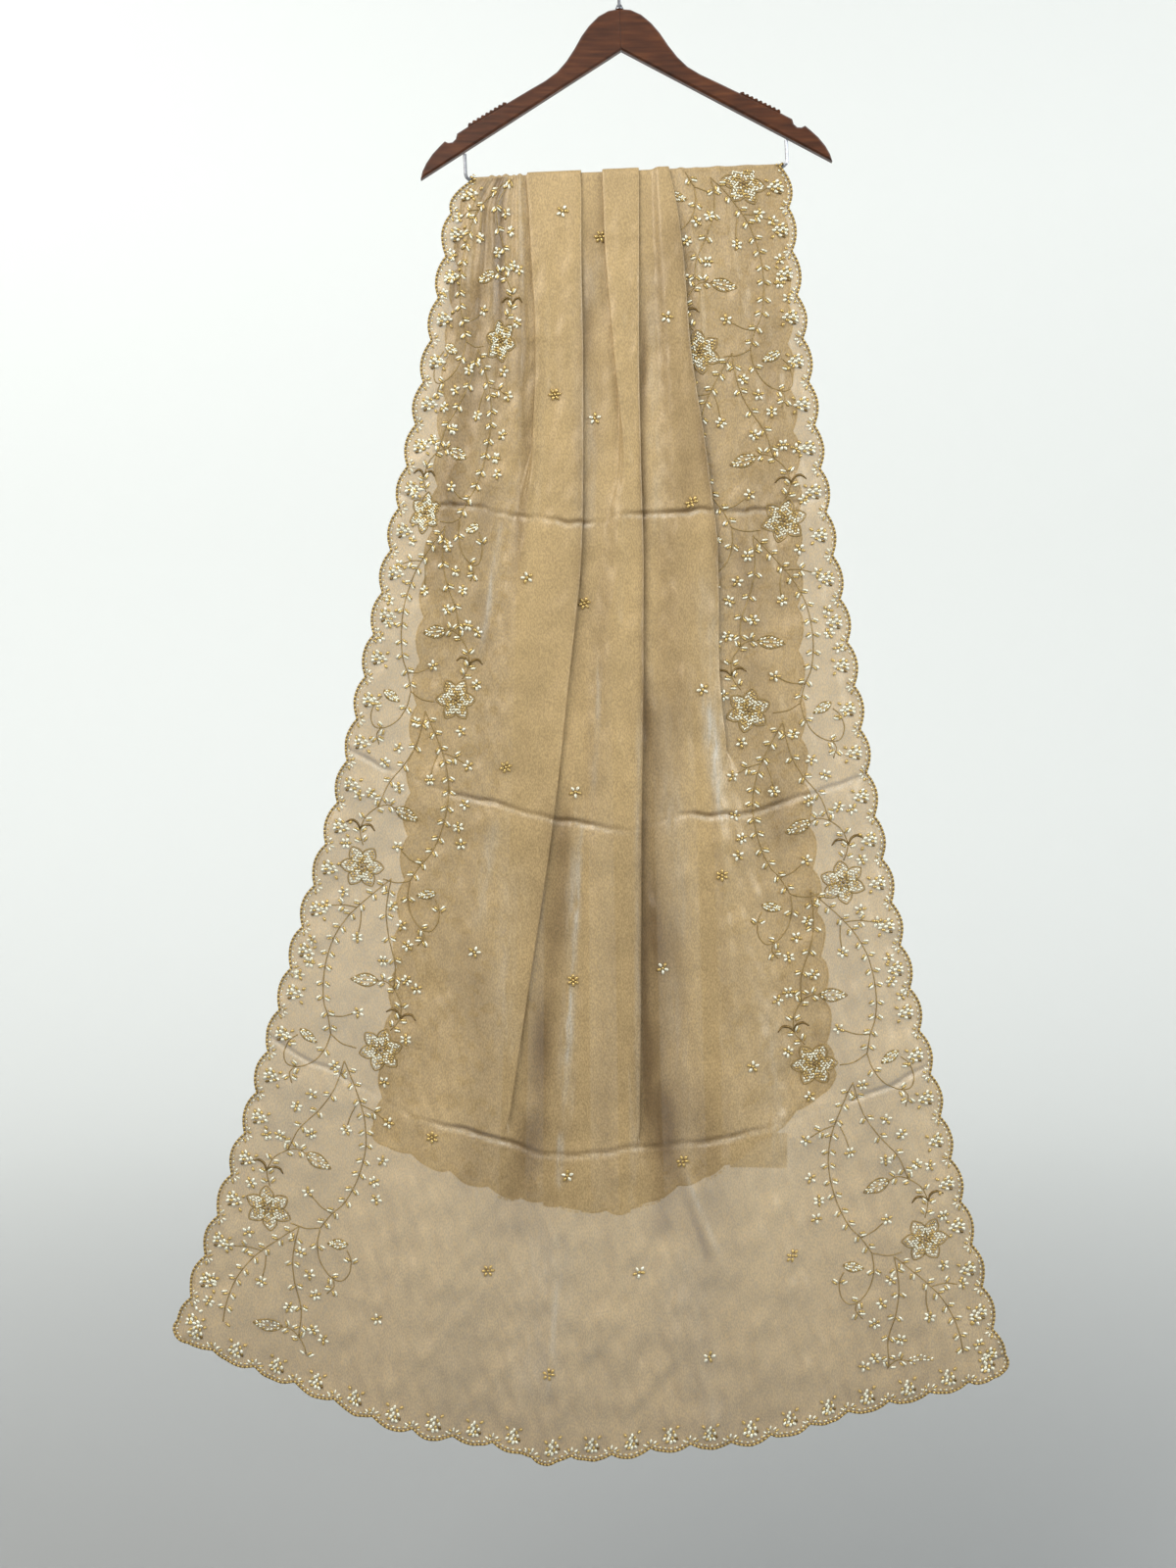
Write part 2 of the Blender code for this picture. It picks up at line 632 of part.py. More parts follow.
def add_fall(name, fall):
    """One hanging stretch of the stole, pleated, with scalloped sides and hem."""
    points, faces = [], []

    def put(x, layer, share):
        points.append(cloth_point(fall, x, layer, share))
        return len(points) - 1

    rows = fall_rows(fall)
    paths = [section(fall, share) for share in rows]
    grid = [[put(x, layer, share) for x, layer in path]
            for share, path in zip(rows, paths)]
    for upper, lower in zip(grid, grid[1:]):
        for k in range(len(upper) - 1):
            faces.append((upper[k], lower[k], lower[k + 1]))
            faces.append((upper[k], lower[k + 1], upper[k + 1]))

    def in_plane(number):
        return number, (points[number][0], points[number][2])

    sides = []
    for table, inward, column in ((fall["left"], 1, 0), (fall["right"], -1, -1)):
        edge = [put(x, section(fall, share)[column][1], share)
                for share, x in side_edge(fall, table, inward)]
        sides.append(edge)
        inner = [row[column] for row in grid]
        faces += fill_band([in_plane(n) for n in inner], [in_plane(n) for n in edge])

    last = section(fall, 1.0)
    columns = range(len(last))
    lengths = path_lengths(last)
    hem = []
    for key, share in hem_edge(fall, last):
        x = float(np.interp(key, columns, [p[0] for p in last]))
        layer = float(np.interp(key, columns, [p[1] for p in last]))
        place = float(np.interp(key, columns, lengths)), -share * fall["drop"]
        hem.append((put(x, layer, share), place))
    above = [(n, (length, -rows[-1] * fall["drop"])) for n, length in zip(grid[-1], lengths)]
    faces += fill_band(above, hem)
    hem = [n for n, _ in hem]
    faces.append((grid[-1][0], sides[0][-1], hem[0]))
    faces.append((grid[-1][-1], hem[-1], sides[1][-1]))

    top = grid[0]
    rim = sides[0] + hem + sides[1][::-1] + top[::-1]
    return add_object(name, thick_wall(name, points, faces, rim), "gold_organza")


def add_turn(name):
    """The stretch that passes over the bar, its pleats the same as at each fall's top."""
    path = section(FRONT, 0.0)
    edge_left = (FRONT["left"][0], path[0][1])
    edge_right = (FRONT["right"][0], path[-1][1])
    path = [edge_left] + path + [edge_right]
    middle = (FRONT["left"][0] + FRONT["right"][0]) / 2
    points, faces, grid = [], [], []
    for angle in TURN_ANGLES:
        turn = math.radians(angle)
        narrow = 1 - (1 - TURN_NARROWING) * math.sin(turn)
        row = []
        for x, layer in path:
            reach = FRONT_REACH[0] - layer * LAYER_STEP[0]
            rise = FRONT_REACH[0] - 2 * LAYER_STEP[0] + (2 - layer) * RIDGE_STEP
            place = middle + (x - middle) * narrow
            row.append(len(points))
            points.append((place, -reach * math.cos(turn),
                           bar_height(place) + SEAM + rise * math.sin(turn)))
        grid.append(row)
    for lower, upper in zip(grid, grid[1:]):
        for k in range(len(upper) - 1):
            faces.append((upper[k], lower[k], lower[k + 1]))
            faces.append((upper[k], lower[k + 1], upper[k + 1]))
    rim = [row[0] for row in reversed(grid)] + grid[0][1:]
    rim += [row[-1] for row in grid[1:]] + list(reversed(grid[-1]))[1:-1]
    return add_object(name, thick_wall(name, points, faces, rim), "gold_organza")


def add_label(name):
    """A bare woven label, sewn behind the back fall's hem near its right corner."""
    left, right = along(BACK["left"], 1.0), along(BACK["right"], 1.0)
    middle = left + (right - left) * (LABEL_AT + 1) / 2
    top = height_of(BACK, middle, 1.0) + LABEL_OVERLAP
    start = middle - LABEL_WIDTH / 2

    def behind(part):
        """The far face of the border at a place across the label."""
        return cloth_point(BACK, start + part * LABEL_WIDTH, 2.0, 1.0)[1] + CLOTH_WALL / 2

    near, slope = behind(0.0), behind(1.0) - behind(0.0)
    bulge = max(behind(part) - near - slope * part for part in (0.25, 0.5, 0.75))
    points = []
    for depth in (FIT_GAP, FIT_GAP + CLOTH_WALL):
        for across, down in ((0, 0), (1, 0), (1, 1), (0, 1)):
            y = near + slope * across + max(0.0, bulge) + depth
            points.append((start + across * LABEL_WIDTH, y, top - down * LABEL_HEIGHT))
    faces = [(0, 1, 2, 3), (4, 5, 6, 7)]
    faces += [(i, (i + 1) % 4, (i + 1) % 4 + 4, i + 4) for i in range(4)]
    return add_object(name, mesh_from(name, points, faces), "label_satin")


def main():
    for old in list(bpy.data.objects):
        bpy.data.objects.remove(old, do_unlink=True)
    FRONT.update(side=-1, reach=FRONT_REACH, waves=FRONT_WAVES, dips=FRONT_DIPS,
                 creases=FRONT_CREASES, rows=FRONT_ROWS)
    BACK.update(side=1, reach=BACK_REACH, waves=BACK_WAVES, dips=BACK_DIPS,
                creases=BACK_CREASES, rows=BACK_ROWS)
    for side, word in ((-1, "left"), (1, "right")):
        add_arm(f"hanger_arm_{word}", side)
        add_grip(f"hanger_grip_{word}", side)
    add_collar()
    add_hook()
    add_bar()
    add_fall("stole_front_fall", FRONT)
    add_turn("stole_bar_turn")
    add_fall("stole_back_fall", BACK)
    add_label("care_label")


main()
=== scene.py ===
# The looks of a sheer embroidered stole, folded over the wire bar of a wooden hanger.
# Sizes are in millimetres and turn into metres where a mesh is made. +Z is up, +X is to
# the right as seen from the front, the front faces -Y, and the origin is the hook's seat.

import math

import bpy
import numpy as np
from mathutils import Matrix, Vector


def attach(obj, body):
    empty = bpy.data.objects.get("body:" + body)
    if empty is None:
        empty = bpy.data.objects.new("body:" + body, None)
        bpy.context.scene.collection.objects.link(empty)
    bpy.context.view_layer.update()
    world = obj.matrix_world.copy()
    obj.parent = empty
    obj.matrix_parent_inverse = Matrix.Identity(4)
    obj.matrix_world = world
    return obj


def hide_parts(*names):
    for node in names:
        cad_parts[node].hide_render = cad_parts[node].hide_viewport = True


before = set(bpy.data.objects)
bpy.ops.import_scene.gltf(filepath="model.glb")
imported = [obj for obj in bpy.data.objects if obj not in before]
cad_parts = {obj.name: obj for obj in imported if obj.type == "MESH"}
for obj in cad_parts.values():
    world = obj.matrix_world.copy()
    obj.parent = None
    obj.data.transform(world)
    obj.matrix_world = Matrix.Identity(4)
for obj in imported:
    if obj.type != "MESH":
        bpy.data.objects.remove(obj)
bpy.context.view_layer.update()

MM = 0.001


def table(columns, *rows):
    """Rows of values under named columns."""
    return [dict(zip(columns.split(), row)) for row in rows]


# The hanger, which hangs with its left end a little low.
TILT = math.radians(2.5)
BAR_BELOW_SEAT = 245.0
BODY = "root"
HANGER_FINISHES = {
    "hanger_arm_left": "wood", "hanger_arm_right": "wood",
    "hanger_grip_left": "wood", "hanger_grip_right": "wood",
    "hanger_bar": "steel", "hanger_hook": "steel", "hanger_collar": "steel",
}

# The cloth: two falls, measured by their share of the drop, 0 at the bar and 1 at the hem.
SCALLOP_DEPTH = 7.0
HEM_SCALLOP = 43.0
EDGE_BAND = 17.0  # from the outer line to the first row or column of the plain cloth
CORNER_LOBE = 4.5  # how much further a corner's lobe reaches than its two ends
BAND_STEPS = 4
CORNER_STEPS = 9
SIDE_SCALLOP = 46.5
STATIONS = np.array((0.0, 0.02, 0.06, 0.14, 0.22, 0.30, 0.40, 0.50, 0.65, 0.80, 1.0))

# side is the way a fall faces along Y, drop its length in the middle, and lift how much
# higher the left and the right end of its hem hang. bands is how strongly it shows the
# painted sheen streaks and painted shades below. left and right are its two edges, and
# reach is how far its outermost layer stands from the bar's axis, all read at STATIONS.
# A fold is a knife pleat. lap +1: the left cloth lies over the right, and its edge faces
# right. lap -1: the other way. x is the visible edge, depth is how far the cloth runs
# back under itself, and 0 means that the pleat has opened into a soft step.
# A wave moves every layer: place across (-1 left, 1 right), half width, height at the
# hem and the share of the drop where it begins. A dip lowers the hem: place across, half
# width and depth. A ridge is a soft fold down the cloth: x and share at its two ends,
# half width and height. A crease is a level line left by storage: its share at the left
# edge, in the middle and at the right edge, and its height. Below 0 it is a valley.
FRONT = {
    "side": -1,
    "bands": 1.0,
    "drop": 1387.0,
    "rows": 330,
    "lift": (142.0, 88.0),
    "left": (-160, -181, -190, -208, -227, -247, -272, -298, -349, -400, -478),
    "right": (182, 189, 194, 207, 221, 235, 257, 276, 314, 359, 423),
    "reach": (5.9, 7.4, 9.6, 11.5, 12.5, 13.0, 13.5, 14.0, 14.5, 15.0, 15.0),
    "folds": table(
        "lap x depth",
        (-1,  # panel_left
         (-98, -96, -93, -88, -93, -111, -128, -143, -176, -214, -275),
         (14, 13, 12, 10, 4, 0, 0, 0, 0, 0, 0)),
        (1,  # panel_right
         (-39, -38, -38, -36, -36, -38, -52, -67, -97, -128, -172),
         (34, 35, 36, 38, 42, 50, 48, 42, 17, 0, 0)),
        (-1,  # inner_left
         (-16, -15, -13, -4, 4, -9, -23, -33, -52, -70, -82),
         (8, 7, 7, 5, 3, 0, 0, 0, 0, 0, 0)),
        (1,  # centre_slit
         (24, 24, 24, 24, 26, 29, 29, 27, 26, 24, 23),
         (24, 23, 22, 18, 15, 20, 30, 30, 18, 0, 0)),
        (-1,  # inner_right
         (41, 42, 44, 50, 53, 56, 62, 66, 72, 80, 92),
         (0, 0, 0, 0, 0, 0, 0, 0, 0, 0, 0)),
        (1,  # group_right
         (57, 63, 71, 80, 96, 109, 111, 126, 156, 186, 228),
         (8, 10, 14, 22, 31, 36, 14, 0, 0, 0, 0)),
    ),
    "waves": table(
        "at half high from",
        (-0.93, 0.14, 5.0, 0.00),
        (-0.70, 0.15, -6.0, 0.25),
        (-0.47, 0.15, 7.0, 0.45),
        (-0.27, 0.12, -5.0, 0.60),
        (-0.06, 0.12, 8.0, 0.65),
        (0.17, 0.12, -5.0, 0.55),
        (0.38, 0.14, 7.0, 0.40),
        (0.62, 0.14, -6.0, 0.30),
        (0.86, 0.14, 6.0, 0.15),
    ),
    "dips": table(
        "at half deep",
        (-0.125, 0.055, 9.0),
        (0.92, 0.08, 4.0),
    ),
    "creases": table(
        "shares high",
        ((0.262, 0.272, 0.268), -2.8),
        ((0.482, 0.508, 0.500), -3.6),
        ((0.735, 0.762, 0.742), -3.8),
        ((0.044, 0.046, 0.044), 0.9),
        ((0.128, 0.132, 0.138), 0.8),
        ((0.900, 0.915, 0.905), 0.9),
    ),
    "ridges": table(
        "x share half high",
        ((-35, -86), (0.40, 0.83), 7, 2.2),
        ((-48, -60), (0.42, 0.74), 4, 1.6),
        ((40, 60), (0.26, 0.86), 12, -3.4),
        ((62, 84), (0.30, 0.90), 13, 3.0),
        ((-74, -120), (0.02, 0.46), 16, 1.6),
        ((-60, -84), (0.05, 0.36), 9, -1.2),
        ((4, -6), (0.03, 0.52), 10, 1.4),
        ((96, 128), (0.42, 0.70), 6, 2.6),
        ((-150, -205), (0.00, 0.42), 8, 1.5),
        ((-128, -164), (0.00, 0.36), 6, 1.4),
        ((112, 150), (0.03, 0.40), 8, 1.2),
        ((150, 196), (0.10, 0.46), 9, -1.3),
        ((-150, -205), (0.62, 1.00), 12, 2.0),
        ((-20, -34), (0.70, 1.00), 9, -2.2),
        ((120, 165), (0.66, 1.00), 12, 2.2),
        ((250, 300), (0.70, 1.00), 14, -2.0),
        ((-58, -80), (0.77, 0.99), 5, 3.2),
        ((64, 116), (0.76, 0.87), 6, 2.6),
        ((-110, 50), (0.85, 0.94), 17, 1.7),
        ((150, 10), (0.84, 0.97), 13, 1.8),
        ((-210, -70), (0.93, 0.99), 18, 1.5),
        ((210, 90), (0.80, 0.90), 12, -1.6),
    ),
}
BACK = {
    "side": 1,
    "bands": 0.3,
    "drop": 1125.0,
    "rows": 250,
    "lift": (86.0, 133.0),
    "left": (-160, -168, -175, -184, -192, -199, -211, -220, -231, -243, -266),
    "right": (182, 184, 186, 190, 193, 199, 201, 203, 209, 224, 238),
    "reach": (5.9, 7.4, 9.6, 11.2, 12.0, 12.5, 13.0, 13.5, 14.0, 14.5, 15.0),
    "folds": table(
        "lap x depth",
        (-1,  # panel_left
         (-98, -98, -99, -101, -103, -105, -108, -111, -116, -121, -128),
         (14, 14, 15, 16, 18, 19, 20, 22, 24, 26, 28)),
        (1,  # panel_right
         (-39, -38, -37, -36, -35, -34, -33, -32, -30, -29, -28),
         (34, 36, 38, 40, 42, 43, 44, 46, 48, 50, 52)),
        (-1,  # inner_left
         (-16, -15, -13, -11, -9, -8, -6, -5, -3, 0, 3),
         (8, 8, 9, 9, 10, 10, 11, 11, 12, 12, 12)),
        (1,  # centre_slit
         (24, 25, 27, 29, 31, 33, 35, 38, 42, 46, 52),
         (24, 24, 24, 24, 24, 25, 25, 26, 27, 28, 30)),
        (-1,  # inner_right
         (41, 42, 44, 47, 50, 53, 56, 58, 62, 66, 70),
         (0, 0, 0, 0, 0, 0, 0, 0, 0, 0, 0)),
        (1,  # group_right
         (57, 60, 66, 74, 82, 89, 95, 99, 105, 110, 116),
         (8, 9, 11, 14, 16, 17, 18, 18, 18, 18, 18)),
    ),
    "waves": table(
        "at half high from",
        (-0.85, 0.22, 5.0, 0.00),
        (-0.45, 0.20, -4.0, 0.20),
        (0.00, 0.22, 4.0, 0.35),
        (0.48, 0.22, -4.0, 0.25),
        (0.88, 0.20, 5.0, 0.10),
    ),
    "dips": table(
        "at half deep",
        (0.05, 0.16, 7.0),
    ),
    "creases": table(
        "shares high",
        ((0.328, 0.335, 0.332), 2.4),
        ((0.612, 0.625, 0.620), 2.6),
        ((0.905, 0.916, 0.908), 2.4),
    ),
    "ridges": table(
        "x share half high",
        ((-140, -190), (0.00, 0.60), 9, 1.5),
        ((-72, -90), (0.08, 0.80), 10, 1.8),
        ((2, 14), (0.10, 0.90), 9, 1.6),
        ((120, 150), (0.05, 0.70), 10, 1.8),
        ((160, 190), (0.30, 1.00), 10, -1.8),
    ),
}
LAYER_STEP = (1.6, 2.0, 2.5, 2.9, 3.0, 3.0, 3.0, 3.0, 3.0, 3.0, 3.0)
PLEAT_TIP = 0.45  # how far a pleat's edge is rounded, in layer steps
PLEAT_CLOSED = 6.0  # depth from which a fold is a full knife pleat
PLEAT_LEAST = 2.4  # least depth of a pleat, in tips
RAMP_AT_BAR, RAMP_GROWTH = 4.0, 22.0  # half width of an opened fold
LIFT_DOWN, LIFT_ACROSS = 1.3, 1.7
DIP_FROM, DIP_LONG = 0.9, 0.1
PLEAT_CLEARANCE = 2.5
MAIN_CREASE = 2.0  # height from which a crease is one of the three main ones
CREASE_HALF, CREASE_POINTED = 4.2, 1.25
CREASE_WAVER = ((0.0030, 2.1, 5), (0.0009, 9.0, 15))  # size as a share, fineness, seed
CREASE_UNEVEN, CREASE_LEAST, CREASE_MOST = (0.62, 0.55, 3.1, 25), 0.12, 1.3
CREASE_ROWS, CREASE_ROWS_NEAR = 1.6, 0.018  # the rows lie closer near a main crease
SWING_PART, SWING_LONG, SWING_AT = 0.45, 38.0, 0.6  # the cloth swings back under a crease
WAVE_GROWTH = 0.6  # share of the drop over which a wave reaches its height
RIDGE_ENDS, RIDGE_WANDER = 0.25, 0.5
REACH_MARGIN, REACH_SOFT = 2.3, 1.5  # the innermost layer keeps this clear of the hanger
RIDGE_STEP = 1.3
TURN_NARROWING = 0.985
TURN_STEPS = 14

# Fine columns between the key points of a section: a border, the five stretches of a
# pleat, and each half of the panel between two pleats.
BORDER_STEPS = 34
PLEAT_STEPS = (3, 3, 6, 3, 3)
PANEL_STEPS = 8

# Small gathers of each border at the bar: place from edge to pleat, half width, height
# in layers. They run out down the fall.
GATHERS = (
    ((0.14, 0.10, 1.2), (0.33, 0.07, 0.9), (0.50, 0.12, 1.7), (0.71, 0.06, 0.8),
     (0.86, 0.09, 1.5)),
    ((0.22, 0.13, 0.5), (0.52, 0.09, 0.7), (0.74, 0.06, 0.4), (0.90, 0.05, 0.9)),
)
GATHER_END = 0.34
GATHERED = 0.72  # how much denser the cloth is between the outer pleats at the bar
GATHERED_SOFT, GATHERED_FROM, GATHERED_LONG = 16, 0.30, 0.38  # and where that ends

# Crinkles of the sheer cloth, as soft noise: height, and the size of one crinkle.
PUCKERS = ((0.9, 30.0, 60.0), (0.55, 15.0, 26.0))
BORDER_PUCKER = 0.9  # how much stronger they are round the embroidery, and low down
BORDER_FROM, BORDER_SOFT = 0.35, 0.3
LOW_FROM, LOW_SOFT = 0.70, 0.2

# Painted sheen highlights in pale streaks: x and share at the two ends, half width and strength of each.
PAINTED_HIGHLIGHTS = table(
    "x share half strength",
    ((48, 66), (0.40, 0.62), 12, 0.35),
    ((60, 74), (0.60, 0.80), 9, 0.30),
    ((92, 112), (0.40, 0.52), 7, 0.95),
    ((90, 114), (0.30, 0.48), 12, 0.30),
    ((-42, -57), (0.48, 0.76), 8, 0.50),
    ((-37, -54), (0.50, 0.70), 2.6, 1.00),
    ((-18, -26), (0.37, 0.49), 2.6, 0.80),
    ((-123, -150), (0.26, 0.38), 3.0, 0.85),
    ((-128, -150), (0.49, 0.59), 7, 0.45),
    ((-112, -122), (0.52, 0.70), 14, 0.25),
    ((-60, -62), (0.74, 0.79), 3, 0.90),
    ((-72, -96), (0.80, 0.97), 26, 0.25),
    ((36, 48), (0.06, 0.30), 9, 0.35),
    ((-30, -34), (0.04, 0.30), 12, 0.30),
    ((150, 176), (0.62, 0.80), 12, 0.30),
    ((70, 96), (0.82, 1.00), 22, 0.20),
    ((25, 21), (0.40, 0.80), 3, 0.60),
    ((70, 114), (0.775, 0.85), 3, 0.55),
    ((-60, -76), (0.84, 0.95), 2.6, 0.50),
)
# Painted shade: darker bands in the lee of a pleat or where cloth is gathered behind.
SHADES = table(
    "x share half strength",
    ((-58, -95), (0.46, 0.80), 17, 0.78),
    ((28, 31), (0.04, 0.80), 5, 0.85),
    ((36, 41), (0.38, 0.64), 10, 0.75),
    ((41, 51), (0.54, 0.80), 19, 0.80),
    ((-30, -45), (0.04, 0.44), 7, 0.35),
    ((-104, -102), (0.02, 0.34), 7, 0.45),
    ((66, 118), (0.02, 0.36), 8, 0.50),
    ((-163, -180), (-0.04, 0.13), 5, 0.70),
    ((-124, -128), (-0.04, 0.17), 9, 0.80),
    ((-142, -150), (-0.04, 0.12), 5, 0.60),
    ((-150, -190), (0.04, 0.34), 18, 0.60),
    ((-136, -150), (0.14, 0.42), 12, 0.35),
    ((128, 176), (0.26, 0.56), 16, 0.40),
    ((86, 108), (0.70, 0.83), 16, 0.45),
    ((-150, -156), (0.55, 0.82), 18, 0.40),
    ((-6, -14), (0.56, 0.82), 12, 0.25),
    ((50, 74), (0.00, 0.30), 19, 0.42),
    ((54, 70), (0.26, 0.46), 22, 0.30),
    ((-24, -27), (0.00, 0.28), 12, 0.32),
    ((132, 168), (-0.04, 0.40), 34, 0.26),
    ((-10, -30), (0.30, 0.52), 16, 0.22),
    ((45, 49), (0.70, 0.84), 21, 0.70),
    ((62, 104), (0.77, 0.86), 5, 0.60),
    ((-102, -96), (0.72, 0.84), 36, 0.40),
)
LIP_HIGHLIGHT, LIP_BELOW, LIP_HALF = 0.55, 2.4, 2.2  # a painted highlight on the lip under each main crease
LEE_SHADE, LEE_ABOVE, LEE_HALF = 0.55, 2.2, 2.4  # and a painted shade line over it
LOW_SHADE, LOW_SHADE_FROM, LOW_SHADE_LONG = 0.36, 0.78, 0.3  # it deepens towards the hem
BAND_ENDS, BAND_WANDER = 0.2, 0.3

# The photograph's view: level, in front of the middle of the hanging cloth.
CAMERA_AT = (-0.031, -2.0, -0.905)
LENS = 42.45  # of a sensor 36 mm high

WALL_RADIUS, WALL_HEIGHT = 3.8, 6.4
FLOOR_RADIUS, BOWL_BEND, BEND_STEPS, BOWL_SIDES = 1.5, 2.2, 12, 96
FLOOR = -2.05
WALL_COLOUR, FLOOR_SHADE_COLOUR = (0.90, 0.91, 0.89), (0.33, 0.33, 0.325)
SHADE_FROM, SHADE_TO = 2.0, 6.2  # distances from the hook between which the painted shade on the stage pales
SKY_COLOUR, SKY_STRENGTH = (0.93, 0.97, 1.0, 1.0), 0.60
LAMPS = (
    ("key", (-1.7, -2.3, 1.5), (0, 0, -0.5), 2.2, 92, (1.0, 0.985, 0.95)),
    ("sheen", (2.6, -1.5, 0.3), (0, 0, -0.7), 1.4, 60, (0.86, 0.93, 1.0)),
    ("wall_left", (-2.0, 1.6, 2.6), (-1.9, 5.6, 0.9), 1.6, 66, (1.0, 0.99, 0.95)),
    ("wall_right", (2.0, 1.6, 2.6), (1.8, 5.6, 0.3), 1.6, 28, (0.96, 0.99, 1.0)),
)  # name, place, aim, size, power, colour

# The border's repeat, in millimetres from a big flower's centre: out towards the edge,
# and down. Leaves sit in pairs along a stem. Every other repeat is mirrored across.
STEMS = table(
    "pairs points",
    (2, ((5, -24), (10, -33), (13, -41))),
    (3, ((13, -42), (9, -58), (-2, -71), (-13, -76), (-23, -73))),
    (5, ((-34, -190), (-33, -170), (-30, -150), (-21, -126), (-7, -99), (-2, -72))),
    (12, ((-34, -190), (-47, -172), (-59, -154), (-70, -134), (-78, -108), (-80, -84),
                (-78, -58), (-72, -34), (-63, -18), (-56, 1))),
    (0, ((-56, 1), (-42, 7), (-26, 7))),
    (3, ((-56, 1), (-58, 19), (-66, 37), (-80, 49), (-92, 50), (-98, 39), (-96, 24),
                (-89, 14))),
    (1, ((-83, 50), (-87, 58), (-82, 69))),
    (0, ((-63, -19), (-49, -23), (-38, -30))),
    (0, ((-59, -152), (-55, -134), (-54, -121))),
    (1, ((-62, -148), (-77, -146), (-90, -141))),
)
FLORETS = ((-33, -33), (-54, -115), (-96, -139), (10, -84), (23, -78), (-20, -98), (-100, -96),
           (2, -122), (-104, -52), (24, -20), (-10, -142), (-44, 34), (12, 34), (-97, -70))
FILLED_LEAVES = table(
    "at turn long",
    ((-35, -71), 166.0, 30.0),
    ((-78, 11), 22.0, 22.0),
)
CRESCENTS = (((13, -40), (9, -46), (2, -48), (-4, -43)), ((13, -40), (17, -46), (24, -48), (30, -43)))
REPEAT_ENDS = (0.002, 0.972)  # shares of the drop between which the border is sewn
BEAD_LIFT = 0.30  # of a bead's width, above the cloth
EDGE_PITCH, EDGE_SLANT, INNER_ROW = 2.3, 0.45, 3.3
STEM_RADIUS, OUTLINE_RADIUS, CRESCENT_RADIUS = 0.62, 0.75, 1.4
FLORET_WIDE, SCATTER_WIDE = 13.5, 14.0

# Beads, each as length and width.
CORD_BEAD, INNER_BEAD = (3.6, 3.0), (3.0, 2.0)
PAIR_BEAD, LEAF_BEAD = (8.0, 2.7), (3.9, 2.3)
PETAL_BEAD, HEART_BEAD, MIDDLE_BEAD = (4.0, 2.1), (3.0, 2.4), (3.6, 3.6)
CLUSTER_BEAD, SPRIG_BEAD = (5.6, 3.6), (5.6, 2.4)

# A big flower: where a petal starts, how long and half how wide it is. Its rows of beads:
# place beside the middle line, where the row starts and how many beads it has.
PETAL_FROM, PETAL_LONG, PETAL_HALF = 4.0, 20.5, 7.4
PETAL_ROWS = ((0.0, 6.2, 5), (2.6, 8.0, 4), (-2.6, 8.0, 4), (5.0, 10.4, 2), (-5.0, 10.4, 2))
PETAL_PITCH, PETAL_LEAN = 3.6, 0.7
PETAL_KINDS = ("pearl", "gold", "pearl", "pearl", "gold")

# Bead leaves along a stem: how they lean, and each one's place ahead and beside.
PAIR_LEAN = 0.95
PAIR_BEADS = ((6.0, 1.3, "pearl"), (5.2, -1.4, "gold"))

# The bead cluster in a scallop and the sprig at a cusp: place along the edge, distance
# from the outer line, direction and kind.
CLUSTER_SCALE = (1.2, 1.1)
CLUSTER = (
    (-3.2, 9.6, 0.6, "gold"), (0, 9.2, 1.57, "pearl"), (3.2, 9.6, 2.5, "pearl"),
    (-5.4, 12.4, 0.9, "pearl"), (-1.8, 12.4, 1.3, "pearl"), (1.8, 12.4, 1.9, "gold"),
    (5.4, 12.4, 2.2, "dark"), (-4.4, 15.6, 1.0, "gold"), (0, 15.6, 1.57, "pearl"),
    (4.4, 15.6, 2.1, "pearl"), (-2.4, 18.6, 1.2, "pearl"), (2.4, 18.6, 1.9, "gold"),
    (0, 21.6, 1.57, "pearl"), (-6.2, 22.4, 2.4, "gold"), (6.0, 23.2, 0.8, "gold"),
)
SPRIG = (
    (0, 13.5, 1.57, "pearl"), (-3.6, 11.8, 2.4, "gold"), (3.6, 11.8, 0.74, "pearl"),
    (-6.6, 9.6, 2.6, "pearl"), (6.6, 9.6, 0.5, "gold"),
)
EDGE_ENDS = (0.004, 0.985)  # shares of a side between which these are sewn

# Small florets on the plain ground: share of the drop and place across.
SCATTER = (
    (0.030, -59), (0.174, -67), (0.319, -97), (0.469, -120), (0.617, -154), (0.768, -198),
    (0.922, -259), (0.050, -18), (0.192, -24), (0.336, -35), (0.483, -45), (0.629, -47),
    (0.780, -54), (0.933, -74), (0.116, 54), (0.262, 80), (0.409, 92), (0.556, 113),
    (0.709, 146), (0.862, 188), (0.623, 50), (0.774, 70), (0.928, 99), (0.863, -140), (0.857, 23),
)
SCATTER_BACK = tuple((0.07 + 0.148 * k + 0.05 * (c % 2), -62 - 6 * k + (66 + 7 * k) * c)
                     for k in range(6) for c in range(3))

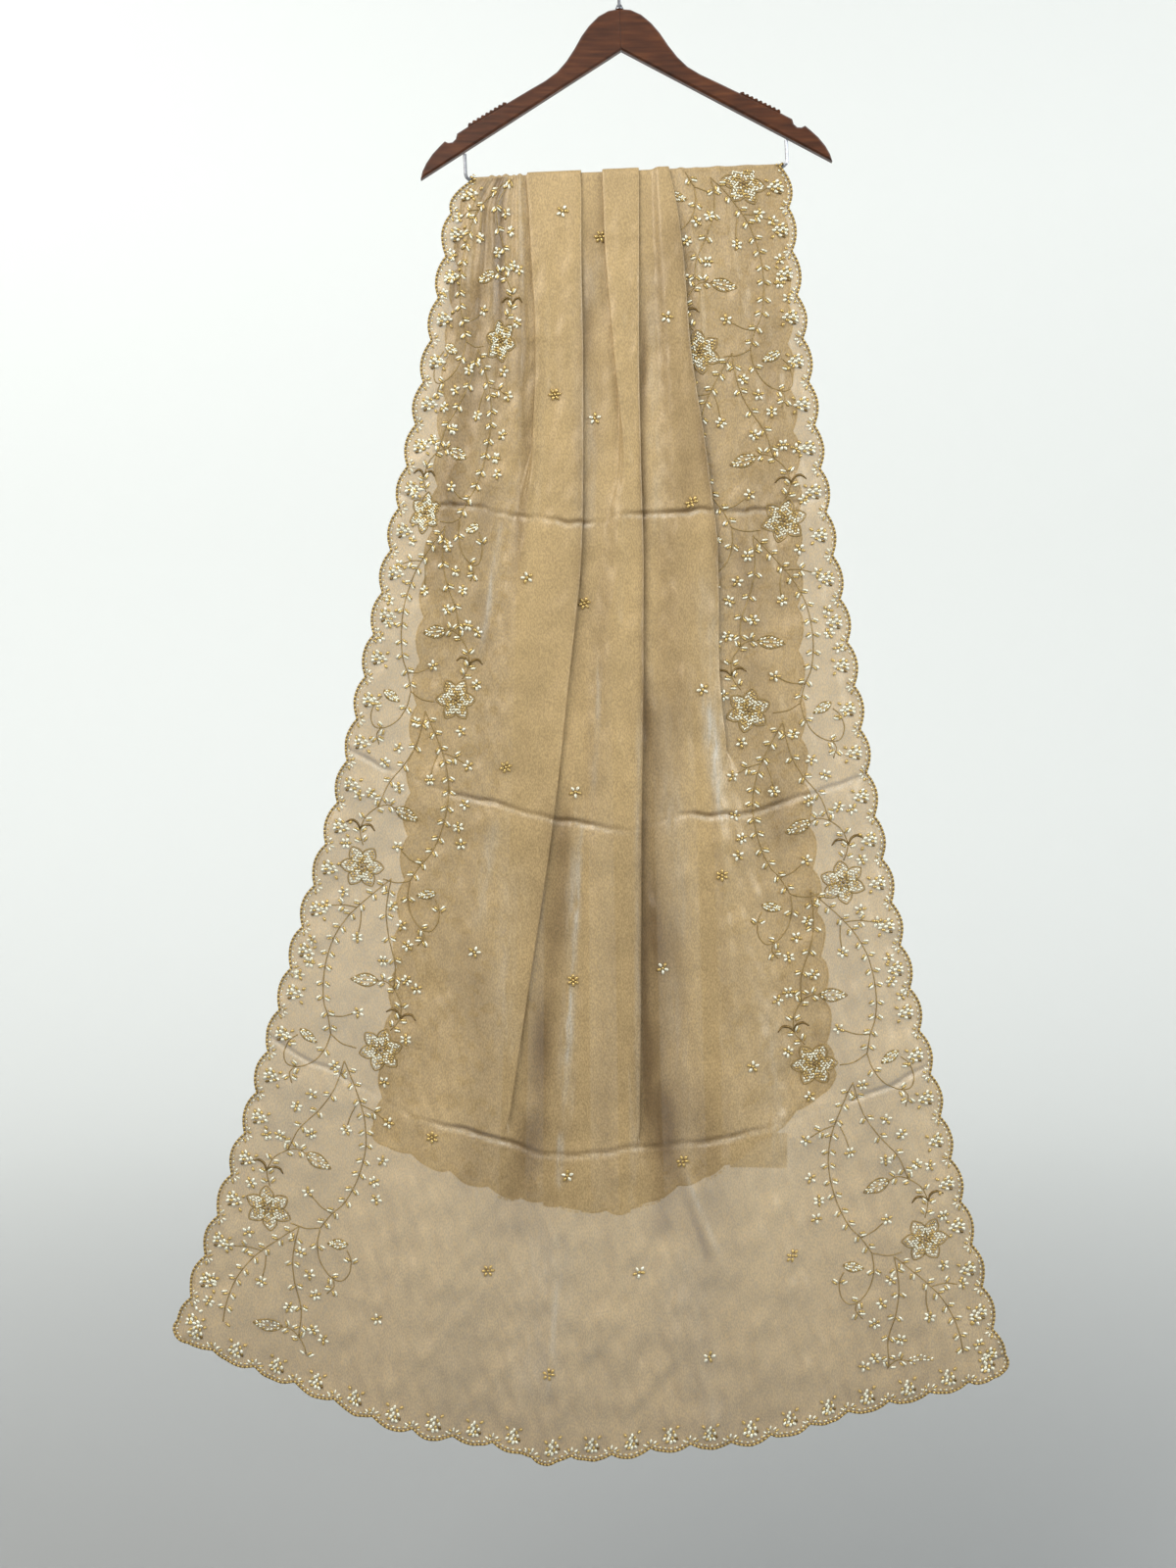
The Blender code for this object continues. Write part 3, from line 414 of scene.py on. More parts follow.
# How the width of the border is drawn in by the gathers, read at STATIONS.
SQUEEZE = {
    "front_left": (0.60, 0.62, 0.64, 0.69, 0.66, 0.68, 0.84, 0.89, 0.94, 0.97, 1.0),
    "front_right": (0.96, 0.96, 0.97, 0.98, 1.0, 1.0, 1.0, 1.0, 1.0, 1.0, 1.0),
    "back_left": (0.50, 0.52, 0.55, 0.58, 0.62, 0.65, 0.68, 0.71, 0.76, 0.81, 0.86),
    "back_right": (0.84, 0.84, 0.85, 0.86, 0.88, 0.90, 0.91, 0.92, 0.94, 0.95, 0.96),
}
FLOWER_NEAR, FLOWER_FAR = 52.0, 121.0
FLOWERS = {
    "front_left": (("far", 0.132), ("near", 0.276), ("far", 0.422), ("near", 0.573),
                   ("far", 0.713), ("near", 0.868), ("far", 1.010)),
    "front_right": (("near", 0.013), ("far", 0.144), ("near", 0.284), ("far", 0.430),
                    ("near", 0.580), ("far", 0.718), ("near", 0.876), ("far", 1.020)),
    "back_left": (("near", 0.10), ("far", 0.278), ("near", 0.456), ("far", 0.634),
                  ("near", 0.812), ("far", 0.990)),
    "back_right": (("far", 0.12), ("near", 0.298), ("far", 0.476), ("near", 0.654),
                   ("far", 0.832), ("near", 1.010)),
}

# The label: place across the back fall's hem, sizes, and how far its free edge curls.
LABEL_AT, LABEL_OVERLAP = 0.67, 12.0
LABEL_WIDE, LABEL_HIGH, LABEL_GAP, LABEL_CURL = 62.0, 38.0, 0.5, 2.0
LABEL_COLUMNS, LABEL_ROWS, LABEL_STITCH = 32, 20, 0.3

WOOD_COLOURS = ((0.040, 0.011, 0.003), (0.085, 0.024, 0.007), (0.135, 0.044, 0.013))
STEEL_COLOURS = ((0.17, 0.17, 0.18), (0.26, 0.26, 0.27), (0.34, 0.34, 0.36))
LABEL_COLOURS = ((0.70, 0.69, 0.65), (0.80, 0.79, 0.75), (0.84, 0.83, 0.80))
CLOTH_COLOUR = (0.560, 0.385, 0.178)
SHEER = (0.73, 0.86)  # how opaque the plain cloth is, between and on its threads
# The colour of the painted sheen highlights, and of the painted shade.
HIGHLIGHT_COLOUR, PAINTED_SHADE_COLOUR = (0.68, 0.61, 0.50), (0.205, 0.122, 0.046)
BEAD_COLOURS = {
    "pearl": ((0.95, 0.88, 0.68), 0.20, 0.34),
    "gold": ((0.62, 0.44, 0.16), 0.28, 0.65),
    "dark": ((0.22, 0.140, 0.045), 0.36, 0.60),
    "thread": ((0.36, 0.245, 0.090), 0.42, 0.40),
}


def eased(value):
    """0 to 1 with a soft start and end."""
    held = np.clip(value, 0.0, 1.0)
    return held * held * (3 - 2 * held)


def along(table, share):
    """A smooth reading of a table given at STATIONS, for one share or for many."""
    table, share = np.asarray(table, float), np.asarray(share, float)
    at = np.clip(np.searchsorted(STATIONS, share, side="right") - 1, 0, len(STATIONS) - 2)
    slopes = np.gradient(table, STATIONS)
    width = STATIONS[at + 1] - STATIONS[at]
    s = np.clip((share - STATIONS[at]) / width, 0.0, 1.0)
    chord = (table[at + 1] - table[at]) / width
    start, end = (np.where(m * chord > 0, np.sign(chord) * np.minimum(abs(m), 3 * abs(chord)), 0)
                  for m in (slopes[at], slopes[at + 1]))
    return ((2 * s**3 - 3 * s**2 + 1) * table[at] + (s**3 - 2 * s**2 + s) * width * start
            + (3 * s**2 - 2 * s**3) * table[at + 1] + (s**3 - s**2) * width * end)


def soft_noise(a, b, seed):
    """A smooth uneven field of about -1 to 1, from a few seeded waves."""
    rng = np.random.default_rng(seed)
    total = np.zeros(np.broadcast(a, b).shape)
    for _ in range(9):
        turn, phase = rng.uniform(0, 2 * math.pi, 2)
        scale = 2 * math.pi * rng.uniform(0.6, 1.5)
        total = total + np.sin(scale * (a * math.cos(turn) + b * math.sin(turn)) + phase)
    return total / 3.2


# The cloth's form


def bar_height(x):
    """Height of the bar's axis under a place across the front."""
    return -BAR_BELOW_SEAT * math.cos(TILT) + x * math.tan(TILT)


def place_across(fall, x, share):
    """-1 at the fall's left edge, 1 at its right edge."""
    low, high = along(fall["left"], share), along(fall["right"], share)
    return 2 * (x - low) / (high - low) - 1


def height_of(fall, x, share):
    """Height of a point of the fall: the hem hangs as an arc, lower in the middle."""
    across = place_across(fall, x, share)
    left, right = fall["left"][0], fall["right"][0]
    top = bar_height((left + right) / 2 + across * (right - left) / 2)
    lift = np.where(across < 0, fall["lift"][0], fall["lift"][1])
    low = fall["drop"] * share - lift * share**LIFT_DOWN * abs(across) ** LIFT_ACROSS
    for dip in fall["dips"]:
        near = abs(across - dip["at"]) / dip["half"]
        low = low + dip["deep"] * eased((share - DIP_FROM) / DIP_LONG) * (1 - eased(near))
    return top - low


def crease_line(crease, number, across):
    """The wavering share at which a crease lies, and how strong it is there."""
    left, middle, right = crease["shares"]
    line = middle + (right - left) / 2 * across + ((left + right) / 2 - middle) * across**2
    for size, fine, seed in CREASE_WAVER:
        line = line + size * soft_noise(across * fine, 0 * across, number + seed)
    mean, size, fine, seed = CREASE_UNEVEN
    uneven = mean + size * soft_noise(across * fine, 0 * across, number + seed)
    return line, np.clip(uneven, CREASE_LEAST, CREASE_MOST)


def stack_offset(fall, x, share):
    """How far the waves, creases, soft folds and crinkles move the cloth outwards."""
    across = place_across(fall, x, share)
    total = np.zeros(np.broadcast(x, share).shape)
    for wave in fall["waves"]:
        near = abs(across - wave["at"]) / wave["half"]
        grown = eased((share - wave["from"]) / WAVE_GROWTH)
        total = total + wave["high"] * grown * (1 - eased(near))
    for number, crease in enumerate(fall["creases"]):
        line, uneven = crease_line(crease, number, across)
        away = abs(share - line) * fall["drop"] / CREASE_HALF
        total = total + crease["high"] * uneven * np.maximum(0, 1 - away) ** CREASE_POINTED
        below = (share - line) * fall["drop"] / SWING_LONG
        total = total - SWING_PART * crease["high"] * eased(1 - abs(below - SWING_AT))
    for ridge in fall["ridges"]:
        (x0, x1), (s0, s1) = ridge["x"], ridge["share"]
        t = (share - s0) / (s1 - s0)
        wander = RIDGE_WANDER * ridge["half"] * soft_noise(share * 4, 0 * share, x0 + 300)
        line = x0 + (x1 - x0) * t + wander
        ends = eased(t / RIDGE_ENDS) * (1.0 if s1 >= 1 else eased((1 - t) / RIDGE_ENDS))
        total = total + ridge["high"] * ends * np.exp(-((x - line) / ridge["half"]) ** 2)
    low = height_of(fall, x, share)
    rough = np.maximum(eased((abs(across) - BORDER_FROM) / BORDER_SOFT),
                       eased((share - LOW_FROM) / LOW_SOFT))
    for number, (high, wide, tall) in enumerate(PUCKERS):
        fade = eased(share / 0.08) * (0.55 + 0.45 * share) * (1 + BORDER_PUCKER * rough)
        total = total + high * fade * soft_noise(x / wide, low / tall, number + 40)
    room = along(fall["reach"], share) - 2 * along(LAYER_STEP, share) - REACH_MARGIN
    over = total + room
    held = REACH_SOFT * np.exp(np.minimum(over - REACH_SOFT, 0) / REACH_SOFT)
    return np.where(over < REACH_SOFT, held, over) - room


def fold_points(fold, share, step):
    """The six points of one pleat in every row, left to right: x and layer.

    Layer 0 is the outermost cloth and layer 2 the one that passes beneath."""
    edge, depth = along(fold["x"], share), along(fold["depth"], share)
    tip = PLEAT_TIP * step
    closed = eased(depth / PLEAT_CLOSED)
    back = np.maximum(depth, PLEAT_LEAST * tip)
    knife = ((-tip, 0.0), (0.0, 0.5), (-tip, 1.0),
             (-back + tip, 1.0), (-back, 1.5), (-back + tip, 2.0))
    spread = RAMP_AT_BAR + RAMP_GROWTH * share
    points = []
    for k, (x, layer) in enumerate(knife):
        open_x, open_layer = spread * (k - 2.5) / 2.5, 2 * eased(k / 5)
        points.append((x * closed + open_x * (1 - closed),
                       layer * closed + open_layer * (1 - closed)))
    if fold["lap"] < 0:
        points = [(-x, layer) for x, layer in reversed(points)]
    return [(edge + x, layer) for x, layer in points]


def smooth_path(keys, steps):
    """A smooth line through the key points of every row, with a few steps to each."""
    keys = np.array(keys)  # key, row, (x, depth)
    chords = keys[1:] - keys[:-1]
    lengths = np.linalg.norm(chords, axis=2, keepdims=True)
    turns = keys.copy()
    turns[1:-1] = keys[2:] - keys[:-2]
    turns[0], turns[-1] = chords[0], chords[-1]
    turns /= np.linalg.norm(turns, axis=2, keepdims=True)
    made = []
    for k, count in enumerate(steps):
        for t in np.arange(count) / count:
            made.append((2 * t**3 - 3 * t**2 + 1) * keys[k] + (3 * t**2 - 2 * t**3) * keys[k + 1]
                        + (t**3 - 2 * t**2 + t) * lengths[k] * turns[k]
                        + (t**3 - t**2) * lengths[k] * turns[k + 1])
    made.append(keys[-1])
    return np.array(made)


def section(fall, share):
    """The cloth's path in every row, as x and layer for each fine column.

    The first and last columns lie one edge band inside the two side edges."""
    step = along(LAYER_STEP, share)
    low = along(fall["left"], share) + EDGE_BAND
    high = along(fall["right"], share) - EDGE_BAND
    groups = [fold_points(fold, share, step) for fold in fall["folds"]]
    inner_left = np.minimum.reduce([x for x, _ in groups[0]]) - PLEAT_CLEARANCE
    inner_right = np.maximum.reduce([x for x, _ in groups[-1]]) + PLEAT_CLEARANCE
    keys = [(inner_left, 2.0 + 0 * share)]
    steps = [2]
    for number, group in enumerate(groups):
        if number:
            (x0, l0), (x1, l1) = groups[number - 1][-1], group[0]
            keys.append(((x0 + x1) / 2, (l0 + l1) / 2))
            steps += [PANEL_STEPS, PANEL_STEPS]
        keys += group
        steps += PLEAT_STEPS
    keys.append((inner_right, 2.0 + 0 * share))
    steps.append(2)
    keys = [np.stack((x, layer * step), axis=1) for x, layer in keys]
    middle = smooth_path(keys, steps)
    fade = 1 - eased(share / GATHER_END)
    borders = []
    for outer, inner, gathers in ((low, inner_left, GATHERS[0]), (high, inner_right, GATHERS[1])):
        columns = []
        for part in np.arange(BORDER_STEPS) / BORDER_STEPS:
            rise = sum(tall * (1 - eased(abs(part - at) / half)) for at, half, tall in gathers)
            columns.append(np.stack((outer + (inner - outer) * part,
                                     (2.0 - fade * rise) * step), axis=1))
        borders.append(np.array(columns))
    path = np.concatenate((borders[0], middle, borders[1][::-1]))
    return path[:, :, 0].T, path[:, :, 1].T / step[:, None]


def cloth_point(fall, x, layer, share):
    """Points of the cloth in millimetres, from their places in a section."""
    reach = along(fall["reach"], share) - layer * along(LAYER_STEP, share)
    return np.stack((x, fall["side"] * (reach + stack_offset(fall, x, share)),
                     height_of(fall, x, share)), axis=-1)


def scallop(length, pitch):
    """How far inside the outer line the edge lies: 0 on a crest, the depth at a cusp."""
    return SCALLOP_DEPTH * (2 * ((length / pitch) % 1.0) - 1) ** 2


def snapped(lengths, pitch, count):
    """The lengths, with the nearest one moved onto each cusp of the scallops."""
    cusps = np.arange(count + 1) * pitch
    inside = cusps[(cusps > lengths[0]) & (cusps < lengths[-1])]
    at = [0, *(int(np.argmin(abs(lengths - cusp))) for cusp in inside), len(lengths) - 1]
    return np.interp(np.arange(len(lengths)), at, [lengths[0], *inside, lengths[-1]])


def side_line(fall, table, shares):
    """Share, x and length from the top of a scalloped side edge, one for each row."""
    fine = np.linspace(0, 1, 2001)
    xs = along(table, fine)
    zs = height_of(fall, xs, fine)
    lengths = np.concatenate(([0], np.cumsum(np.hypot(np.diff(xs), np.diff(zs)))))
    count = round(lengths[-1] / SIDE_SCALLOP)
    pitch = lengths[-1] / count
    moved = snapped(np.interp(shares, fine, lengths), pitch, count)
    return np.interp(moved, lengths, fine), scallop(moved, pitch), pitch, lengths, fine


def build_fall(fall):
    """The fall as a grid of rows and columns, with its scalloped bands and corners."""
    last = 1 - EDGE_BAND / fall["drop"]
    fine = np.linspace(0, last, 4001)
    dense = np.ones(len(fine))
    for crease in fall["creases"]:
        if abs(crease["high"]) >= MAIN_CREASE:
            away = (fine - np.mean(crease["shares"])) / CREASE_ROWS_NEAR
            dense += CREASE_ROWS * np.exp(-away**2)
    dense = np.concatenate(([0], np.cumsum(dense[1:])))
    shares = np.interp(np.linspace(0, dense[-1], fall["rows"]), dense, fine)
    x, layer = section(fall, shares)
    plain = cloth_point(fall, x, layer, shares[:, None])
    bands, lengths = [], []
    for table, inward, column in ((fall["left"], 1, 0), (fall["right"], -1, -1)):
        edge_share, inset, pitch, *line = side_line(fall, table, shares)
        edge_x = along(table, edge_share) + inward * inset
        part = np.arange(1, BAND_STEPS + 1) / BAND_STEPS
        band_x = x[:, column, None] + (edge_x - x[:, column])[:, None] * part
        band_share = shares[:, None] + (edge_share - shares)[:, None] * part
        band = cloth_point(fall, band_x, layer[:, column, None], band_share)
        bands.append(band)
        fall[("left", "right")[column] + "_line"] = (pitch, *line)
    grid = np.concatenate((bands[0][:, ::-1], plain, bands[1]), axis=1)
    whole_x, whole_layer = section(fall, np.array((last, 1.0)))
    run = np.hypot(np.diff(whole_x[1]), np.diff(whole_layer[1]) * LAYER_STEP[-1])
    run = np.concatenate(([0], np.cumsum(run)))
    width = run[-1] + 2 * EDGE_BAND
    count = round(width / HEM_SCALLOP)
    pitch = width / count
    moved = snapped(run + EDGE_BAND, pitch, count)
    bottom = 1 - scallop(moved, pitch) / fall["drop"]
    fall["hem_line"] = (pitch, run + EDGE_BAND)
    hem = []
    for part in np.arange(1, BAND_STEPS + 1) / BAND_STEPS:
        share = last + (bottom - last) * part
        shift = (share - last) / (1 - last)
        at = run + (moved - EDGE_BAND - run) * part
        row_x = whole_x[0] + (whole_x[1] - whole_x[0]) * shift
        row_layer = whole_layer[0] + (whole_layer[1] - whole_layer[0]) * shift
        hem.append(cloth_point(fall, np.interp(at, run, row_x), np.interp(at, run, row_layer), share))
    corners = []
    for column, inward in ((0, 1), (-1, -1)):
        band = (bands[0] if column == 0 else bands[1])[-1]
        start, end = abs(band[-1][0] - plain[-1, column][0]), (bottom[column] - last) * fall["drop"]
        drift = (whole_x[1, column] - whole_x[0, column]) / EDGE_BAND
        rays = []
        for turn in np.linspace(0, math.pi / 2, CORNER_STEPS + 1)[1:-1]:
            share_of_turn = turn / (math.pi / 2)
            far = start + (end - start) * share_of_turn + CORNER_LOBE * math.sin(2 * turn)
            part = far * np.arange(1, BAND_STEPS + 1) / BAND_STEPS
            down = part * math.sin(turn)
            rays.append(cloth_point(fall, whole_x[0, column] - inward * part * math.cos(turn) + drift * down,
                                    whole_layer[0, column], last + down / fall["drop"]))
        corners.append(np.array(rays))
    fall.update(shares=shares, grid=grid, hem=np.array(hem), corners=corners)
    store_lookup(fall)


def store_lookup(fall):
    """The whole uncut surface, for sewing: shares, points and lengths across each row."""
    last = fall["shares"][-1]
    shares = np.concatenate((fall["shares"], last + (1 - last) * np.arange(1, 5) / 4))
    x, layer = section(fall, shares)
    part = np.arange(BAND_STEPS, 0, -1) / BAND_STEPS
    x = np.concatenate((x[:, :1] - EDGE_BAND * part, x, x[:, -1:] + EDGE_BAND * part[::-1]), axis=1)
    layer = np.concatenate((layer[:, :1] + 0 * part, layer, layer[:, -1:] + 0 * part), axis=1)
    points = cloth_point(fall, x, layer, shares[:, None])
    depth = layer * along(LAYER_STEP, shares)[:, None]
    run = np.cumsum(np.hypot(np.diff(x), np.diff(depth)), axis=1)
    fall["lookup"] = shares, points, np.concatenate((np.zeros((len(x), 1)), run), axis=1)


def on_cloth(fall, share, across, from_right):
    """A point of the cloth and its outward normal, at a length across from one edge."""
    shares, points, runs = fall["lookup"]
    row = min(max(int(np.searchsorted(shares, share)) - 1, 0), len(shares) - 2)
    f = (share - shares[row]) / (shares[row + 1] - shares[row])
    run = runs[row] * (1 - f) + runs[row + 1] * f
    if from_right:
        across = run[-1] - across
    column = min(max(int(np.searchsorted(run, across)) - 1, 0), len(run) - 2)
    g = (across - run[column]) / (run[column + 1] - run[column])
    one, two = points[row, column:column + 2], points[row + 1, column:column + 2]
    place = (one[0] * (1 - g) + one[1] * g) * (1 - f) + (two[0] * (1 - g) + two[1] * g) * f
    normal = np.cross(one[1] - one[0] + two[1] - two[0], two[0] - one[0] + two[1] - one[1])
    return place, fall["side"] * normal / np.linalg.norm(normal)


def outermost(fall, share, x):
    """The length across, from the left edge, of the cloth that shows at a place x."""
    shares, points, runs = fall["lookup"]
    row = min(int(np.searchsorted(shares, share)), len(shares) - 1)
    xs, depth = points[row, :, 0], abs(points[row, :, 1])
    crossing = np.nonzero((xs[:-1] - x) * (xs[1:] - x) <= 0)[0]
    column = crossing[np.argmax(depth[crossing] + depth[crossing + 1])]
    part = (x - xs[column]) / (xs[column + 1] - xs[column])
    return runs[row, column] + part * (runs[row, column + 1] - runs[row, column])


def turn_rows():
    """The rows that pass over the bar, from the front fall's top to the back fall's."""
    path_x, layer = (found[0] for found in section(FRONT, np.array((0.0,))))
    middle = (FRONT["left"][0] + FRONT["right"][0]) / 2
    rows = []
    for k in range(1, TURN_STEPS):
        turn = math.pi * k / TURN_STEPS
        inset = scallop(k / TURN_STEPS, 1.0)
        part = np.arange(1, BAND_STEPS + 1) / BAND_STEPS
        left = path_x[0] + (FRONT["left"][0] + inset - path_x[0]) * part
        right = path_x[-1] + (FRONT["right"][0] - inset - path_x[-1]) * part
        x = np.concatenate((left[::-1], path_x, right))
        layers = np.concatenate((np.full(BAND_STEPS, layer[0]), layer, np.full(BAND_STEPS, layer[-1])))
        place = middle + (x - middle) * (1 - (1 - TURN_NARROWING) * math.sin(turn))
        reach = FRONT["reach"][0] - layers * LAYER_STEP[0]
        rise = FRONT["reach"][0] - 2 * LAYER_STEP[0] + (2 - layers) * RIDGE_STEP
        rows.append(np.stack((place, -reach * math.cos(turn),
                              bar_height(place) + rise * math.sin(turn)), axis=1))
    return np.array(rows)


def grid_faces(index):
    """Quads between the rows and columns of a grid of point numbers."""
    corners = (index[:-1, :-1], index[1:, :-1], index[1:, 1:], index[:-1, 1:])
    return np.stack(corners, axis=2).reshape(-1, 4)


def cloth_mesh(name, fall, above=()):
    """A single sheet from a fall's grid, with the rows that lie above it."""
    body = fall["grid"] if len(above) == 0 else np.concatenate((above, fall["grid"]))
    rows, columns = body.shape[:2]
    points = [body.reshape(-1, 3)]
    index = np.arange(rows * columns).reshape(rows, columns)
    faces = [grid_faces(index)]
    plain = slice(BAND_STEPS, columns - BAND_STEPS)
    count = rows * columns
    hem = fall["hem"]
    hem_index = np.arange(hem.shape[0] * hem.shape[1]).reshape(hem.shape[:2]) + count
    points.append(hem.reshape(-1, 3))
    count += hem_index.size
    ladder = np.concatenate((index[-1:, plain], hem_index))
    faces.append(grid_faces(ladder))
    sides = []
    for rays, centre, band, down in (
            (fall["corners"][0], index[-1, BAND_STEPS], index[-1, :BAND_STEPS][::-1], ladder[1:, 0]),
            (fall["corners"][1], index[-1, columns - 1 - BAND_STEPS],
             index[-1, columns - BAND_STEPS:], ladder[1:, -1])):
        ray_index = np.arange(rays.shape[0] * rays.shape[1]).reshape(rays.shape[:2]) + count
        points.append(rays.reshape(-1, 3))
        count += ray_index.size
        fan = np.concatenate((band[None], ray_index, down[None]))
        fan = np.concatenate((np.full((len(fan), 1), centre), fan), axis=1)
        sides.append(fan)
        faces.append(np.stack((fan[:-1, 1:-1], fan[:-1, 2:], fan[1:, 2:], fan[1:, 1:-1]), axis=2)
                     .reshape(-1, 4))
        faces.append(np.stack((fan[:-1, 0], fan[:-1, 1], fan[1:, 1], fan[1:, 1]), axis=1))
    edge = [index[:, 0], sides[0][1:-1, -1], ladder[-1], sides[1][1:-1, -1][::-1], index[::-1, -1]]
    points = np.concatenate(points)
    fall["edge"] = points[np.concatenate(edge)]
    faces = [tuple(f[:3]) if f[2] == f[3] else tuple(f) for f in np.concatenate(faces).tolist()]
    made = add_mesh(name, points, faces, "organza")
    x, share = points[:, 0], (bar_height(points[:, 0]) - points[:, 2]) / fall["drop"]
    low, high = (along(fall["folds"][k]["x"], np.clip(share, 0, 1)) for k in (0, -1))
    inside = eased((x - low) / GATHERED_SOFT) * eased((high + 4 - x) / GATHERED_SOFT)
    dense = GATHERED * inside * (1 - eased((share - GATHERED_FROM) / GATHERED_LONG))
    # Painted light for the material: a painted highlight on each crease's lip and in the sheen streaks, and
    # painted shade over each crease, towards the hem and in the shaded bands.
    lip = LIP_HIGHLIGHT * crease_marks(fall, x, points[:, 2], LIP_BELOW, LIP_HALF)
    lee = LEE_SHADE * crease_marks(fall, x, points[:, 2], -LEE_ABOVE, LEE_HALF)
    low = LOW_SHADE * eased((share - LOW_SHADE_FROM) / LOW_SHADE_LONG)
    pale = np.clip(lip + fall["bands"] * banded(PAINTED_HIGHLIGHTS, x, share), 0, 1)
    deep = np.clip(lee + low + fall["bands"] * banded(SHADES, x, share), 0, 1)
    for word, values in (("gathered", dense), ("satin", pale), ("painted_shade", deep)):
        found = made.data.attributes.new(word, "FLOAT", "POINT")
        found.data.foreach_set("value", values)
    return made


def crease_marks(fall, x, height, below, half):
    """How strongly a point lies in a thin line a little below or above each main crease."""
    share = (bar_height(x) - height) / fall["drop"]
    for _ in range(6):
        share = share + (height_of(fall, x, share) - height) / fall["drop"]
    total = 0 * x
    for number, crease in enumerate(fall["creases"]):
        if abs(crease["high"]) < MAIN_CREASE:
            continue
        line, uneven = crease_line(crease, number, place_across(fall, x, share))
        away = ((share - line) * fall["drop"] - below) / half
        total += uneven * np.exp(-away**2)
    return total


def banded(bands, x, share):
    """How strongly a point lies in some soft uneven bands down the cloth."""
    total = 0 * x
    for number, band in enumerate(bands):
        (x0, x1), (s0, s1) = band["x"], band["share"]
        t = (share - s0) / (s1 - s0)
        wander = BAND_WANDER * band["half"] * soft_noise(share * 6, 0 * share, number + 70)
        away = (x - x0 - (x1 - x0) * t - wander) / band["half"]
        broken = 0.75 + 0.25 * soft_noise(share * 9, x / 60, number + 90)
        ends = eased(t / BAND_ENDS) * eased((1 - t) / BAND_ENDS)
        total += band["strength"] * ends * broken * np.exp(-away**2)
    return total


# Meshes and materials


def add_mesh(name, points, faces, *finishes, kinds=None):
    """Links a mesh of points in millimetres, with its materials."""
    made = bpy.data.meshes.new(name)
    made.from_pydata(np.asarray(points) * MM, [], faces)
    for finish in finishes:
        made.materials.append(MATERIALS[finish])
    if kinds is not None:
        made.polygons.foreach_set("material_index", kinds)
    made.shade_smooth()
    made.validate()
    thing = bpy.data.objects.new(name, made)
    bpy.context.scene.collection.objects.link(thing)
    return thing


def start_material(name, colour, roughness, metallic=0.0):
    """A Principled material with its plain values set on the shader itself."""
    made = bpy.data.materials.new(name)
    made.use_nodes = True
    shader = made.node_tree.nodes["Principled BSDF"]
    shader.inputs["Base Color"].default_value = (*colour, 1.0)
    shader.inputs["Roughness"].default_value = roughness
    shader.inputs["Metallic"].default_value = metallic
    return made, made.node_tree, shader


def node(tree, kind, **values):
    """A shader node, with some of its input sockets set by name."""
    made = tree.nodes.new(kind)
    for name, value in values.items():
        made.inputs[name.replace("_", " ")].default_value = value
    return made


def noise_of(tree, scale, stretch=(1, 1, 1), detail=3.0):
    """Noise over the object's own coordinates, stretched along its axes."""
    where = node(tree, "ShaderNodeTexCoord")
    mapping = node(tree, "ShaderNodeMapping", Scale=stretch)
    tree.links.new(where.outputs["Object"], mapping.inputs["Vector"])
    found = node(tree, "ShaderNodeTexNoise", Scale=scale, Detail=detail)
    tree.links.new(mapping.outputs["Vector"], found.inputs["Vector"])
    return found.outputs["Fac"]


def ramp(tree, value, stops):
    """A colour ramp from (place, colour) stops."""
    made = node(tree, "ShaderNodeValToRGB")
    for k, (place, colour) in enumerate(stops):
        stop = made.color_ramp.elements[k] if k < 2 else made.color_ramp.elements.new(place)
        stop.position = place
        stop.color = (*colour, 1.0)
    tree.links.new(value, made.inputs["Fac"])
    return made.outputs["Color"]


def bumped(tree, shader, height, strength, distance):
    """A bump from a height onto the shader."""
    made = node(tree, "ShaderNodeBump", Strength=strength, Distance=distance)
    tree.links.new(height, made.inputs["Height"])
    tree.links.new(made.outputs["Normal"], shader.inputs["Normal"])


def attribute(tree, name):
    """A value of 0 to 1 that is stored at the points of the mesh."""
    made = node(tree, "ShaderNodeAttribute")
    made.attribute_name = name
    return made.outputs["Fac"]


def mapped(tree, value, **values):
    """A value moved from one range to another."""
    made = node(tree, "ShaderNodeMapRange", **values)
    tree.links.new(value, made.inputs["Value"])
    return made


def laid_over(tree, part, ground, colour):
    """A plain colour laid over a changing one, as strongly as a value says."""
    made = node(tree, "ShaderNodeMixRGB", Color2=(*colour, 1.0))
    tree.links.new(part, made.inputs["Fac"])
    tree.links.new(ground, made.inputs["Color1"])
    return made.outputs["Color"]


